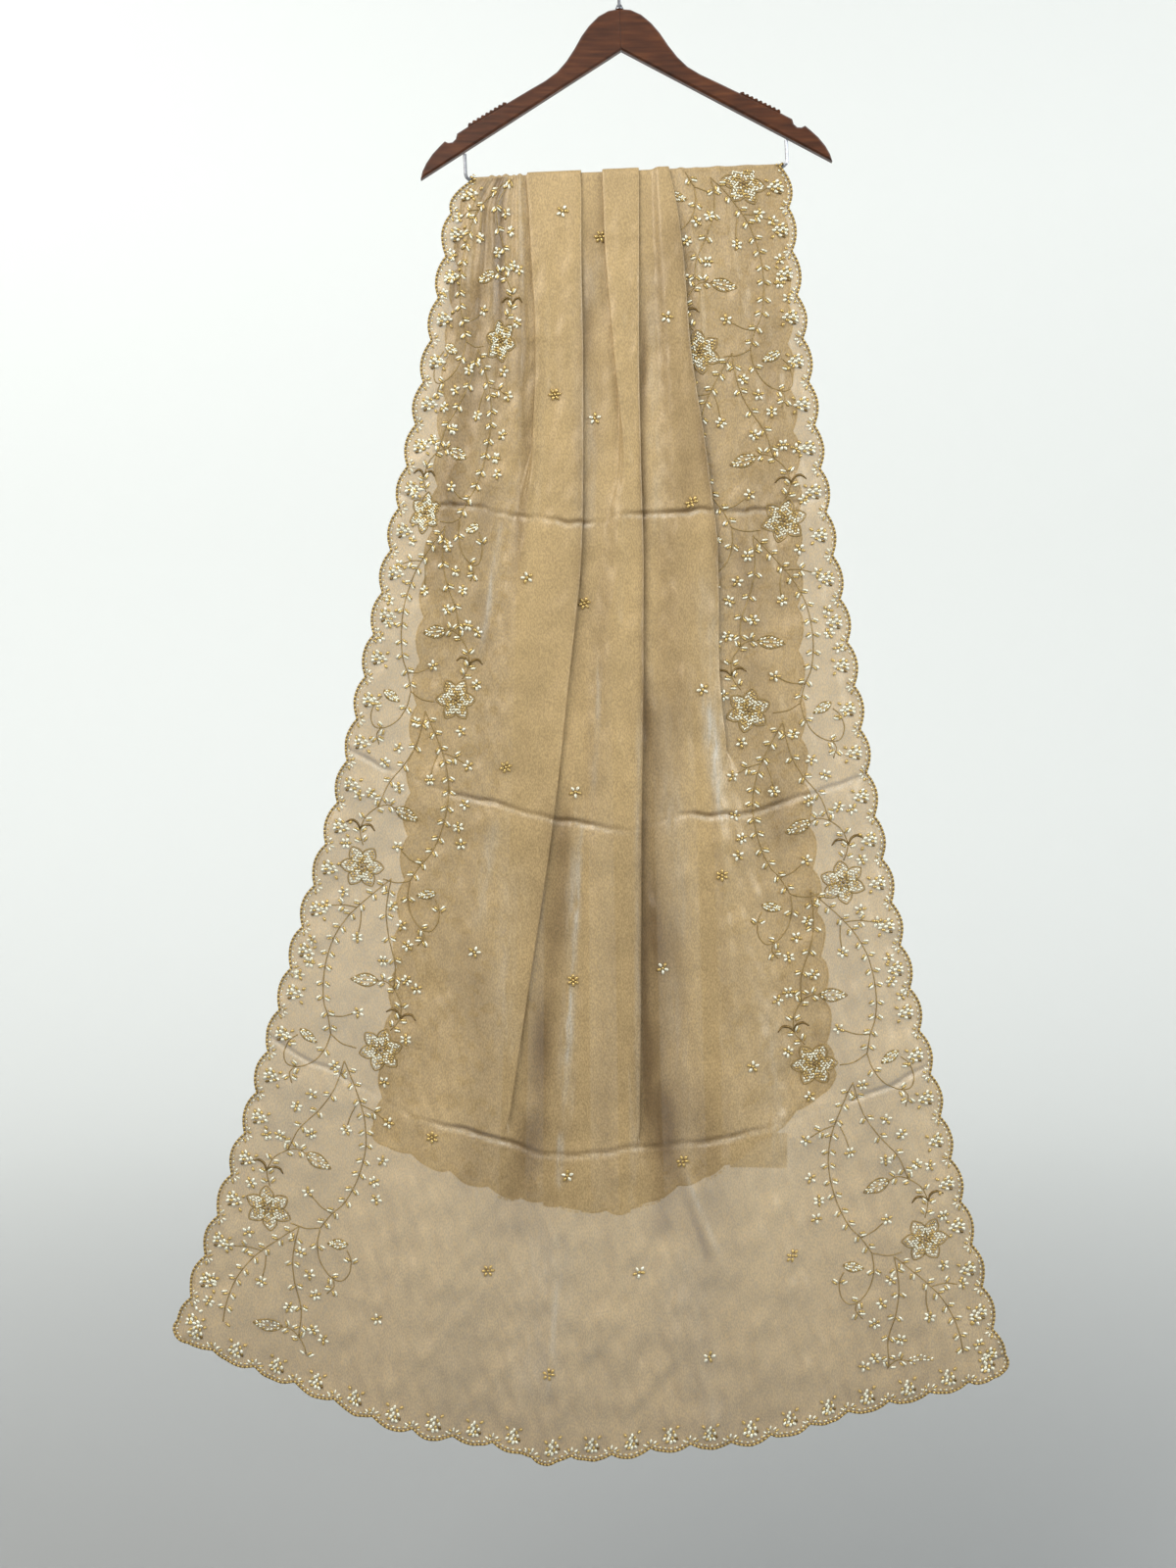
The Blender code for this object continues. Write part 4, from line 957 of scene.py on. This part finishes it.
def organza():
    """Sheer satin organza: crepe grain, a cloudy tone, pale streaks of painted sheen highlight and darker
    bands of painted shade.
    """
    made, tree, shader = start_material("organza", CLOTH_COLOUR, 0.38, 0.08)
    shader.inputs["Sheen Weight"].default_value = 0.12
    shader.inputs["Sheen Roughness"].default_value = 0.30
    shader.inputs["Sheen Tint"].default_value = (1.0, 0.95, 0.86, 1.0)
    shader.inputs["Specular IOR Level"].default_value = 0.55
    grain = noise_of(tree, 850.0, (1.0, 1.0, 0.45), 2.0)
    cloud = noise_of(tree, 14.0, (1.0, 1.0, 0.7), 4.0)
    tone = ramp(tree, cloud, ((0.32, tuple(c * 0.90 for c in CLOTH_COLOUR)),
                              (0.68, tuple(min(1.0, c * 1.07) for c in CLOTH_COLOUR))))
    # A stretched noise that breaks up the painted sheen highlights.
    threads = noise_of(tree, 34.0, (6.0, 6.0, 0.9), 4.0)
    streaks = mapped(tree, threads, From_Min=0.26, From_Max=0.66)
    strength = node(tree, "ShaderNodeMath")
    strength.operation = "MULTIPLY"
    tree.links.new(streaks.outputs["Result"], strength.inputs[0])
    tree.links.new(attribute(tree, "satin"), strength.inputs[1])
    # The painted sheen highlight, then the painted shade, laid into the cloth's colour.
    highlighted = laid_over(tree, strength.outputs["Value"], tone, HIGHLIGHT_COLOUR)
    shaded = laid_over(tree, attribute(tree, "painted_shade"), highlighted, PAINTED_SHADE_COLOUR)
    mix = node(tree, "ShaderNodeMixRGB", Fac=1.0)
    mix.blend_type = "MULTIPLY"
    tree.links.new(shaded, mix.inputs["Color1"])
    tree.links.new(ramp(tree, grain, ((0.38, (0.76,) * 3), (0.62, (1.0,) * 3))), mix.inputs["Color2"])
    tree.links.new(mix.outputs["Color"], shader.inputs["Base Color"])
    sheer = mapped(tree, grain, From_Min=0.3, From_Max=0.7, To_Min=SHEER[0], To_Max=SHEER[1])
    filled = mapped(tree, attribute(tree, "gathered"), To_Max=1.0)
    tree.links.new(sheer.outputs["Result"], filled.inputs["To Min"])
    tree.links.new(filled.outputs["Result"], shader.inputs["Alpha"])
    bumped(tree, shader, grain, 0.45, 0.0007)
    return made


def plain_finish(name, colour, roughness, metallic):
    """Beads and threads: a fine grain in the colour."""
    made, tree, shader = start_material(name, colour, roughness, metallic)
    grain = noise_of(tree, 400.0)
    tone = ramp(tree, grain, ((0.3, tuple(c * 0.75 for c in colour)),
                              (0.7, tuple(min(1.0, c * 1.2) for c in colour))))
    tree.links.new(tone, shader.inputs["Base Color"])
    return made


def wood():
    """Varnished reddish brown wood, with grain along the hanger."""
    made, tree, shader = start_material("wood", WOOD_COLOURS[1], 0.34)
    shader.inputs["Specular IOR Level"].default_value = 0.35
    shader.inputs["Coat Weight"].default_value = 0.12
    shader.inputs["Coat Roughness"].default_value = 0.22
    grain = noise_of(tree, 26.0, (1.0, 5.0, 9.0), 6.0)
    tone = ramp(tree, grain, tuple(zip((0.3, 0.55, 0.75), WOOD_COLOURS)))
    tree.links.new(tone, shader.inputs["Base Color"])
    bumped(tree, shader, grain, 0.12, 0.0004)
    return made


def steel():
    """Bright plated wire with faint drawing lines."""
    made, tree, shader = start_material("steel", STEEL_COLOURS[1], 0.34, 1.0)
    lines = noise_of(tree, 300.0, (1.0, 4.0, 4.0), 2.0)
    tone = ramp(tree, lines, ((0.3, STEEL_COLOURS[0]), (0.7, STEEL_COLOURS[2])))
    tree.links.new(tone, shader.inputs["Base Color"])
    return made


def label_satin():
    """The bare label: pale woven satin."""
    made, tree, shader = start_material("label", LABEL_COLOURS[1], 0.5)
    weave = noise_of(tree, 1200.0, (1.0, 1.0, 3.0), 2.0)
    tone = ramp(tree, weave, ((0.3, LABEL_COLOURS[0]), (0.7, LABEL_COLOURS[2])))
    tree.links.new(tone, shader.inputs["Base Color"])
    bumped(tree, shader, weave, 0.3, 0.0003)
    return made


MATERIALS = {"organza": organza(), "wood": wood(), "steel": steel(), "label": label_satin()}
for bead, (colour, roughness, metallic) in BEAD_COLOURS.items():
    MATERIALS[bead] = plain_finish(bead, colour, roughness, metallic)


# The embroidery

# A bead is an icosahedron, one unit in radius, with a point at each end.
ICO = []
for height in (1.0, 0.447, -0.447, -1.0):
    for k in range(1 if abs(height) == 1.0 else 5):
        turn = math.radians(72 * k + (36 if height < 0 else 0))
        out = math.sqrt(1 - height * height)
        ICO.append((height, out * math.cos(turn), out * math.sin(turn)))
ICO = np.array(ICO)
ICO_FACES = np.array([(0, 1 + k, 1 + (k + 1) % 5) for k in range(5)]
                     + [(1 + k, 6 + k, 1 + (k + 1) % 5) for k in range(5)]
                     + [(6 + k, 6 + (k + 1) % 5, 1 + (k + 1) % 5) for k in range(5)]
                     + [(11, 6 + (k + 1) % 5, 6 + k) for k in range(5)])
KINDS = tuple(BEAD_COLOURS)


class Sewing:
    """Beads and threads of one piece of embroidery, collected before the meshes."""

    def __init__(self, fall, key):
        self.fall, self.key = fall, key
        self.beads, self.tubes = [], []
        self.from_right = key.endswith("right")

    def spot(self, share, across):
        """A point of the fall and its normal, at a length across from this side's edge."""
        return on_cloth(self.fall, share, across, self.from_right)

    def bead(self, place, normal, ahead, long, wide, kind):
        """An oval bead lying along a direction on the cloth."""
        ahead = ahead - normal * ahead.dot(normal)
        ahead = ahead / np.linalg.norm(ahead)
        self.beads.append((place + normal * wide * BEAD_LIFT, ahead, np.cross(normal, ahead),
                           normal, long / 2, wide / 2, KINDS.index(kind)))

    def stroke(self, places, normals, radii, kind):
        """A thread through points on the cloth."""
        if len(places) > 1:
            self.tubes.append((np.array(places), np.array(normals), radii, KINDS.index(kind)))


def smooth_line(points, step=3.0):
    """A smooth line through given points, as many short steps."""
    points = np.array(points, float)
    ends = np.concatenate(([2 * points[0] - points[1]], points, [2 * points[-1] - points[-2]]))
    made = []
    for k in range(len(points) - 1):
        a, b, c, d = ends[k:k + 4]
        count = max(2, int(np.linalg.norm(c - b) / step))
        for t in np.arange(count) / count:
            made.append(0.5 * (2 * b + (c - a) * t + (2 * a - 5 * b + 4 * c - d) * t**2
                               + (3 * b - a - 3 * c + d) * t**3))
    made.append(points[-1])
    return np.array(made)


def sew_marks(sewing, at, marks):
    """Beads given in a pattern's own millimetres: place, direction, size and kind."""
    for x, y, turn, long, wide, kind in marks:
        spot = at(x, y)
        if spot is None:
            continue
        place, normal = sewing.spot(*spot)
        ahead = at(x + math.cos(turn), y + math.sin(turn))
        ahead = place if ahead is None else sewing.spot(*ahead)[0]
        if np.linalg.norm(ahead - place) > 1e-6:
            sewing.bead(place, normal, ahead - place, long, wide, kind)


def sew_line(sewing, at, line, radius, kind, taper=False, whole=False):
    """A thread along a line in a pattern's own millimetres, cut at the ends or left out."""
    spots = [at(x, y) for x, y in line]
    if whole and None in spots:
        return
    found = [sewing.spot(*spot) for spot in spots if spot is not None]
    shape = [0.35 + 0.65 * math.sin(math.pi * (k + 0.5) / len(found)) if taper else 1.0
             for k in range(len(found))]
    sewing.stroke([p for p, _ in found], [n for _, n in found],
                  [radius * part for part in shape], kind)


def turned(a, b, angle, x=0.0, y=0.0):
    """The point a ahead of (x, y) and b beside it, looking along an angle."""
    cos, sin = math.cos(angle), math.sin(angle)
    return x + a * cos - b * sin, y + a * sin + b * cos


def both_sides(half):
    """An outline from its one half, mirrored over its middle line."""
    return half + [(a, -b) for a, b in half[-2::-1]]


def floret(x, y, size, turn, petals=5, bright="pearl"):
    """A small flower of single beads."""
    marks = [(x, y, turn, 0.26 * size, 0.24 * size, "gold")]
    for k in range(petals):
        angle = turn + 2 * math.pi * k / petals
        marks.append((*turned(0.31 * size, 0, angle, x, y), angle, 0.42 * size, 0.26 * size,
                      bright if k % 3 else "gold"))
    return marks


def big_flower(turn):
    """Six pointed petals filled with slanting beads, and their outlines."""
    marks, lines = [], []
    half = [(PETAL_FROM + PETAL_LONG * part, PETAL_HALF * math.sin(math.pi * part**1.05) ** 0.85)
            for part in np.linspace(0, 1, 9)]
    for k in range(6):
        angle = turn + math.pi / 3 * k
        lines.append([turned(a, b, angle) for a, b in both_sides(half)])
        for row, (beside, start, count) in enumerate(PETAL_ROWS):
            for n in range(count):
                lean = PETAL_LEAN * (1 if (n + row) % 2 else -1)
                marks.append((*turned(start + PETAL_PITCH * n, beside, angle), angle + lean,
                              *PETAL_BEAD, PETAL_KINDS[(2 * n + row + k) % 5]))
    for k in range(6):
        angle = turn + 0.5 + math.pi / 3 * k
        marks.append((*turned(3.6, 0, angle), angle, *HEART_BEAD, "gold"))
    marks.append((0.0, 0.0, turn, *MIDDLE_BEAD, "dark"))
    return marks, lines


def filled_leaf(x, y, turn, long):
    """A leaf filled with beads, and its outline."""
    wide = 0.24 * long
    half = [(long * (part - 0.5), wide * math.sin(math.pi * part**0.85))
            for part in np.linspace(0, 1, 9)]
    marks = []
    for n in range(7):
        for row in (-1, 0, 1):
            a, b = long * (-0.36 + 0.12 * n), row * 0.50 * wide * (1.5 - 0.30 * abs(n - 2.6))
            marks.append((*turned(a, b, turn, x, y), turn + 0.6 * row, *LEAF_BEAD,
                          "pearl" if (n + row) % 3 else "gold"))
    return marks, [[turned(a, b, turn, x, y) for a, b in both_sides(half)]]


def leaf_pairs(line, count):
    """Pairs of bead leaves at even steps along a stem."""
    marks = []
    for k in range(count):
        n = int((k + 0.6) / count * (len(line) - 1))
        step = line[min(n + 1, len(line) - 1)] - line[max(n - 1, 0)]
        turn = math.atan2(step[1], step[0])
        for angle in (turn + PAIR_LEAN, turn - PAIR_LEAN):
            for reach, side, kind in PAIR_BEADS:
                marks.append((*turned(reach, side, angle, *line[n]), angle, *PAIR_BEAD, kind))
    return marks


def sew_border(fall, key):
    """The vine with its big flowers down one side of a fall."""
    sewing = Sewing(fall, key)
    stems = [(smooth_line(stem["points"]), stem["pairs"]) for stem in STEMS]
    for number, (row, share) in enumerate(FLOWERS[key]):
        mirror = 1 if row == "near" else -1
        centre = FLOWER_NEAR if row == "near" else FLOWER_FAR

        def at(x, y):
            here = share + y / fall["drop"]
            if not REPEAT_ENDS[0] < here < REPEAT_ENDS[1]:
                return None
            return here, (centre - mirror * x) * float(along(SQUEEZE[key], here))

        for line, pairs in stems:
            sew_line(sewing, at, line, STEM_RADIUS, "thread")
            sew_marks(sewing, at, leaf_pairs(line, pairs))
        for k, (x, y) in enumerate(FLORETS):
            sew_marks(sewing, at, floret(x, y, FLORET_WIDE, 0.4 * k + number, 5 + k % 2))
        shapes = [filled_leaf(*leaf["at"], math.radians(leaf["turn"]), leaf["long"])
                  for leaf in FILLED_LEAVES]
        shapes.append(big_flower(0.2 + 0.35 * number))
        for marks, lines in shapes:
            sew_marks(sewing, at, marks)
            for line in lines:
                sew_line(sewing, at, smooth_line(line, 2.5), OUTLINE_RADIUS, "thread", whole=True)
        for line in CRESCENTS:
            sew_line(sewing, at, smooth_line(line, 2.0), CRESCENT_RADIUS, "dark", taper=True, whole=True)
    return sewing


def sew_scatter(fall, places):
    """Small florets spread over the plain ground."""
    sewing = Sewing(fall, "scatter_left")
    for k, (share, x) in enumerate(places):
        centre = outermost(fall, share, x)

        def at(a, b):
            return share + b / fall["drop"], centre + a

        bright = "gold" if k % 2 else "pearl"
        sew_marks(sewing, at, floret(0, 0, SCATTER_WIDE, 0.9 * k, 5 + k % 2, bright))
    return sewing


def sew_scallops(fall):
    """A bead cluster in each scallop and a sprig at each cusp, down both sides and the hem."""
    made = []
    cluster = [(CLUSTER_SCALE[0] * a, CLUSTER_SCALE[1] * b, turn, *CLUSTER_BEAD, kind)
               for a, b, turn, kind in CLUSTER]
    sprig = [(a, b, turn, *SPRIG_BEAD, kind) for a, b, turn, kind in SPRIG]
    for key in ("left", "right"):
        sewing = Sewing(fall, key)
        pitch, lengths, fine = fall[key + "_line"]
        for k in range(1, int(2 * lengths[-1] / pitch)):
            along_edge = (k / 2) * pitch

            def at(a, b):
                here = float(np.interp(along_edge + a, lengths, fine))
                return (here, b) if EDGE_ENDS[0] < here < EDGE_ENDS[1] else None

            sew_marks(sewing, at, cluster if k % 2 else sprig)
        made.append(sewing)
    sewing = Sewing(fall, "hem_left")
    pitch, run = fall["hem_line"]
    shares, _, runs = fall["lookup"]
    whole = run[-1] + EDGE_BAND
    for k in range(1, int(2 * whole / pitch)):
        middle = (k / 2) * pitch

        def at(a, b):
            share = 1 - b / fall["drop"]
            row = min(int(np.searchsorted(shares, share)), len(shares) - 1)
            return share, (middle + a) * runs[row, -1] / whole

        sew_marks(sewing, at, cluster if k % 2 else sprig)
    return made + [sewing]


def sew_edge(fall):
    """The corded edge: slanted two-tone stitches, and a row of small beads just inside."""
    sewing = Sewing(fall, "edge_left")
    edge = fall["edge"]
    run = np.concatenate(([0], np.cumsum(np.linalg.norm(np.diff(edge, axis=0), axis=1))))
    out = np.array((0.0, fall["side"], 0.0))
    for k, length in enumerate(np.arange(0.6, run[-1], EDGE_PITCH)):
        here, after = (np.array([np.interp(length + d, run, edge[:, a]) for a in range(3)])
                       for d in (-0.9, 0.9))
        ahead = (after - here) / np.linalg.norm(after - here)
        across = np.cross(ahead, out)
        across = across / np.linalg.norm(across)
        normal = np.cross(across, ahead)
        middle = (here + after) / 2
        slant = ahead + EDGE_SLANT * across
        sewing.bead(middle, normal, slant, *CORD_BEAD, "gold" if k % 2 else "dark")
        if k % 3 != 2:
            inside = middle + fall["side"] * across * INNER_ROW
            sewing.bead(inside, normal, ahead, *INNER_BEAD, "pearl" if k % 3 else "gold")
    return sewing


def sewn_mesh(name, sewings):
    """One mesh of many beads and threads, with a material for each kind."""
    points, faces, kinds, count = [], [], [], 0
    for sewing in sewings:
        if sewing.beads:
            centre, ahead, across, normal = (np.array([bead[k] for bead in sewing.beads])
                                             for k in range(4))
            long, wide = (np.array([bead[k] for bead in sewing.beads])[:, None, None] for k in (4, 5))
            shape = (centre[:, None] + ICO[None, :, 0:1] * ahead[:, None] * long
                     + ICO[None, :, 1:2] * across[:, None] * wide
                     + ICO[None, :, 2:3] * normal[:, None] * wide * 0.75)
            points.append(shape.reshape(-1, 3))
            starts = count + 12 * np.arange(len(centre))
            faces += (ICO_FACES[None] + starts[:, None, None]).reshape(-1, 3).tolist()
            kinds += np.repeat([bead[6] for bead in sewing.beads], 20).tolist()
            count += 12 * len(centre)
        for places, normals, radii, kind in sewing.tubes:
            ahead = np.gradient(places, axis=0)
            ahead /= np.linalg.norm(ahead, axis=1)[:, None]
            across = np.cross(normals, ahead)
            across /= np.linalg.norm(across, axis=1)[:, None]
            radii = np.array(radii)[:, None]
            ring = np.stack([places + normals * 0.3 * radii
                             + radii * (across * math.cos(a) + normals * math.sin(a))
                             for a in (0.0, math.pi / 2, math.pi, 3 * math.pi / 2)], axis=1)
            points.append(ring.reshape(-1, 3))
            for n in range(len(places) - 1):
                base = count + 4 * n
                for a in range(4):
                    faces.append((base + a, base + (a + 1) % 4, base + 4 + (a + 1) % 4, base + 4 + a))
                    kinds.append(kind)
            for end in (count, count + 4 * (len(places) - 1)):
                faces.append((end + 3, end + 2, end + 1, end) if end == count
                             else (end, end + 1, end + 2, end + 3))
                kinds.append(kind)
            count += 4 * len(places)
    return add_mesh(name, np.concatenate(points), faces, *KINDS, kinds=kinds)


def add_embroidery(word, fall, scatter):
    """All the embroidery of one fall."""
    return [
        sewn_mesh(f"{word}_border_left", [sew_border(fall, f"{word}_left")]),
        sewn_mesh(f"{word}_border_right", [sew_border(fall, f"{word}_right")]),
        sewn_mesh(f"{word}_scallop_beads", sew_scallops(fall) + [sew_scatter(fall, scatter)]),
        sewn_mesh(f"{word}_edge_cord", [sew_edge(fall)]),
    ]


def add_label():
    """The bare woven label, stitched by its top edge behind the back fall's hem."""
    left, right = BACK["left"][-1], BACK["right"][-1]
    middle = left + (right - left) * (LABEL_AT + 1) / 2
    top = float(height_of(BACK, middle, 1.0)) + LABEL_OVERLAP
    across, down = np.meshgrid(np.linspace(-0.5, 0.5, LABEL_COLUMNS),
                               np.linspace(0, 1, LABEL_ROWS))
    x = middle + across * LABEL_WIDE
    far = cloth_point(BACK, x[0], 2.0, 1.0)[:, 1].max()
    edge = np.minimum(0.5 - abs(across), np.minimum(down, 1 - down) * 0.6)
    curl = LABEL_CURL * down**2 * (0.6 + 0.4 * np.cos(2 * math.pi * (across + 0.1)))
    y = far + LABEL_GAP + curl + 0.25 * (1 - eased(edge / 0.05))
    z = top - down * LABEL_HIGH - 0.8 * down * across
    points = np.stack((x, y, z), axis=-1)
    index = np.arange(x.size).reshape(x.shape)
    faces = np.stack((index[:-1, :-1], index[:-1, 1:], index[1:, 1:], index[1:, :-1]), axis=2)
    label = add_mesh("label_sheet", points.reshape(-1, 3), faces.reshape(-1, 4).tolist(), "label")
    sewing = Sewing(BACK, "label_left")
    for k in range(1, LABEL_COLUMNS - 1, 2):
        places = points[2, k:k + 2]
        sewing.stroke(places + np.array((0, 0.15, 0)), np.array(((0, 1.0, 0),) * 2),
                      (LABEL_STITCH, LABEL_STITCH), "thread")
    return label, sewn_mesh("label_stitches", [sewing])


# The stage


def add_stage():
    """A bowl of floor and wall, pale but for painted shade round the hanger, a pale sky and plain soft
    lights.
    """
    rings = [(FLOOR_RADIUS, 0.0)]
    for turn in math.pi / 2 * np.arange(BEND_STEPS + 1) / BEND_STEPS:
        rings.append((WALL_RADIUS + BOWL_BEND * math.sin(turn), BOWL_BEND * (1 - math.cos(turn))))
    rings.append((WALL_RADIUS + BOWL_BEND, WALL_HEIGHT))
    turns = 2 * math.pi * np.arange(BOWL_SIDES) / BOWL_SIDES
    points = [(r * math.cos(turn) / MM, r * math.sin(turn) / MM, (FLOOR + z) / MM)
              for r, z in rings for turn in turns]
    faces = []
    for k in range(BOWL_SIDES):
        after = (k + 1) % BOWL_SIDES
        faces.append((len(points), k, after))
        for low in range(0, len(points) - BOWL_SIDES, BOWL_SIDES):
            high = low + BOWL_SIDES
            faces.append((low + after, low + k, high + k, high + after))
    points.append((0, 0, FLOOR / MM))
    made, tree, shader = start_material("stage", WALL_COLOUR, 0.9)
    # Painted shade: the stage is darker near the hook and pales with distance from it.
    where = node(tree, "ShaderNodeTexCoord")
    away = node(tree, "ShaderNodeVectorMath")
    away.operation = "LENGTH"
    tree.links.new(where.outputs["Object"], away.inputs[0])
    part = mapped(tree, away.outputs["Value"], From_Min=SHADE_FROM, From_Max=SHADE_TO)
    tone = ramp(tree, part.outputs["Result"], ((0.0, FLOOR_SHADE_COLOUR), (1.0, WALL_COLOUR)))
    tree.links.new(tone, shader.inputs["Base Color"])
    MATERIALS["stage"] = made
    bowl = add_mesh("stage_bowl", points, faces, "stage")
    world = bpy.data.worlds.new("sky")
    world.use_nodes = True
    sky = world.node_tree.nodes["Background"]
    sky.inputs["Color"].default_value = SKY_COLOUR
    sky.inputs["Strength"].default_value = SKY_STRENGTH
    bpy.context.scene.world = world
    for name, at, aim, size, power, colour in LAMPS:
        lamp = bpy.data.lights.new(name, "AREA")
        lamp.size, lamp.energy, lamp.color = size, power, colour
        thing = bpy.data.objects.new(name, lamp)
        thing.location = at
        thing.rotation_euler = (Vector(aim) - Vector(at)).to_track_quat("-Z", "Y").to_euler()
        bpy.context.scene.collection.objects.link(thing)


def add_camera():
    """The photograph's view."""
    lens = bpy.data.cameras.new("view")
    lens.lens, lens.sensor_width = LENS, 36.0
    thing = bpy.data.objects.new("view", lens)
    thing.location = CAMERA_AT
    thing.rotation_euler = (math.pi / 2, 0, 0)
    bpy.context.scene.collection.objects.link(thing)
    bpy.context.scene.camera = thing


def main():
    """The view, the stage, the cloth with its embroidery, the label and the hanger's looks."""
    bpy.context.scene.view_settings.view_transform = "Standard"
    add_camera()
    add_stage()
    build_fall(FRONT)
    build_fall(BACK)
    front = cloth_mesh("stole_front_cloth", FRONT, turn_rows()[::-1])
    back = cloth_mesh("stole_back_cloth", BACK)
    front_sewing = add_embroidery("front", FRONT, SCATTER)
    back_sewing = add_embroidery("back", BACK, SCATTER_BACK)
    for piece in (front, back, *front_sewing, *back_sewing):
        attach(piece, BODY)
    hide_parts("stole_front_fall", "stole_bar_turn")
    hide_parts("stole_back_fall")
    label, stitches = add_label()
    for piece in (label, stitches):
        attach(piece, BODY)
    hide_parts("care_label")
    for name, finish in HANGER_FINISHES.items():
        thing = bpy.data.objects[name]
        thing.data.materials.clear()
        thing.data.materials.append(MATERIALS[finish])


main()
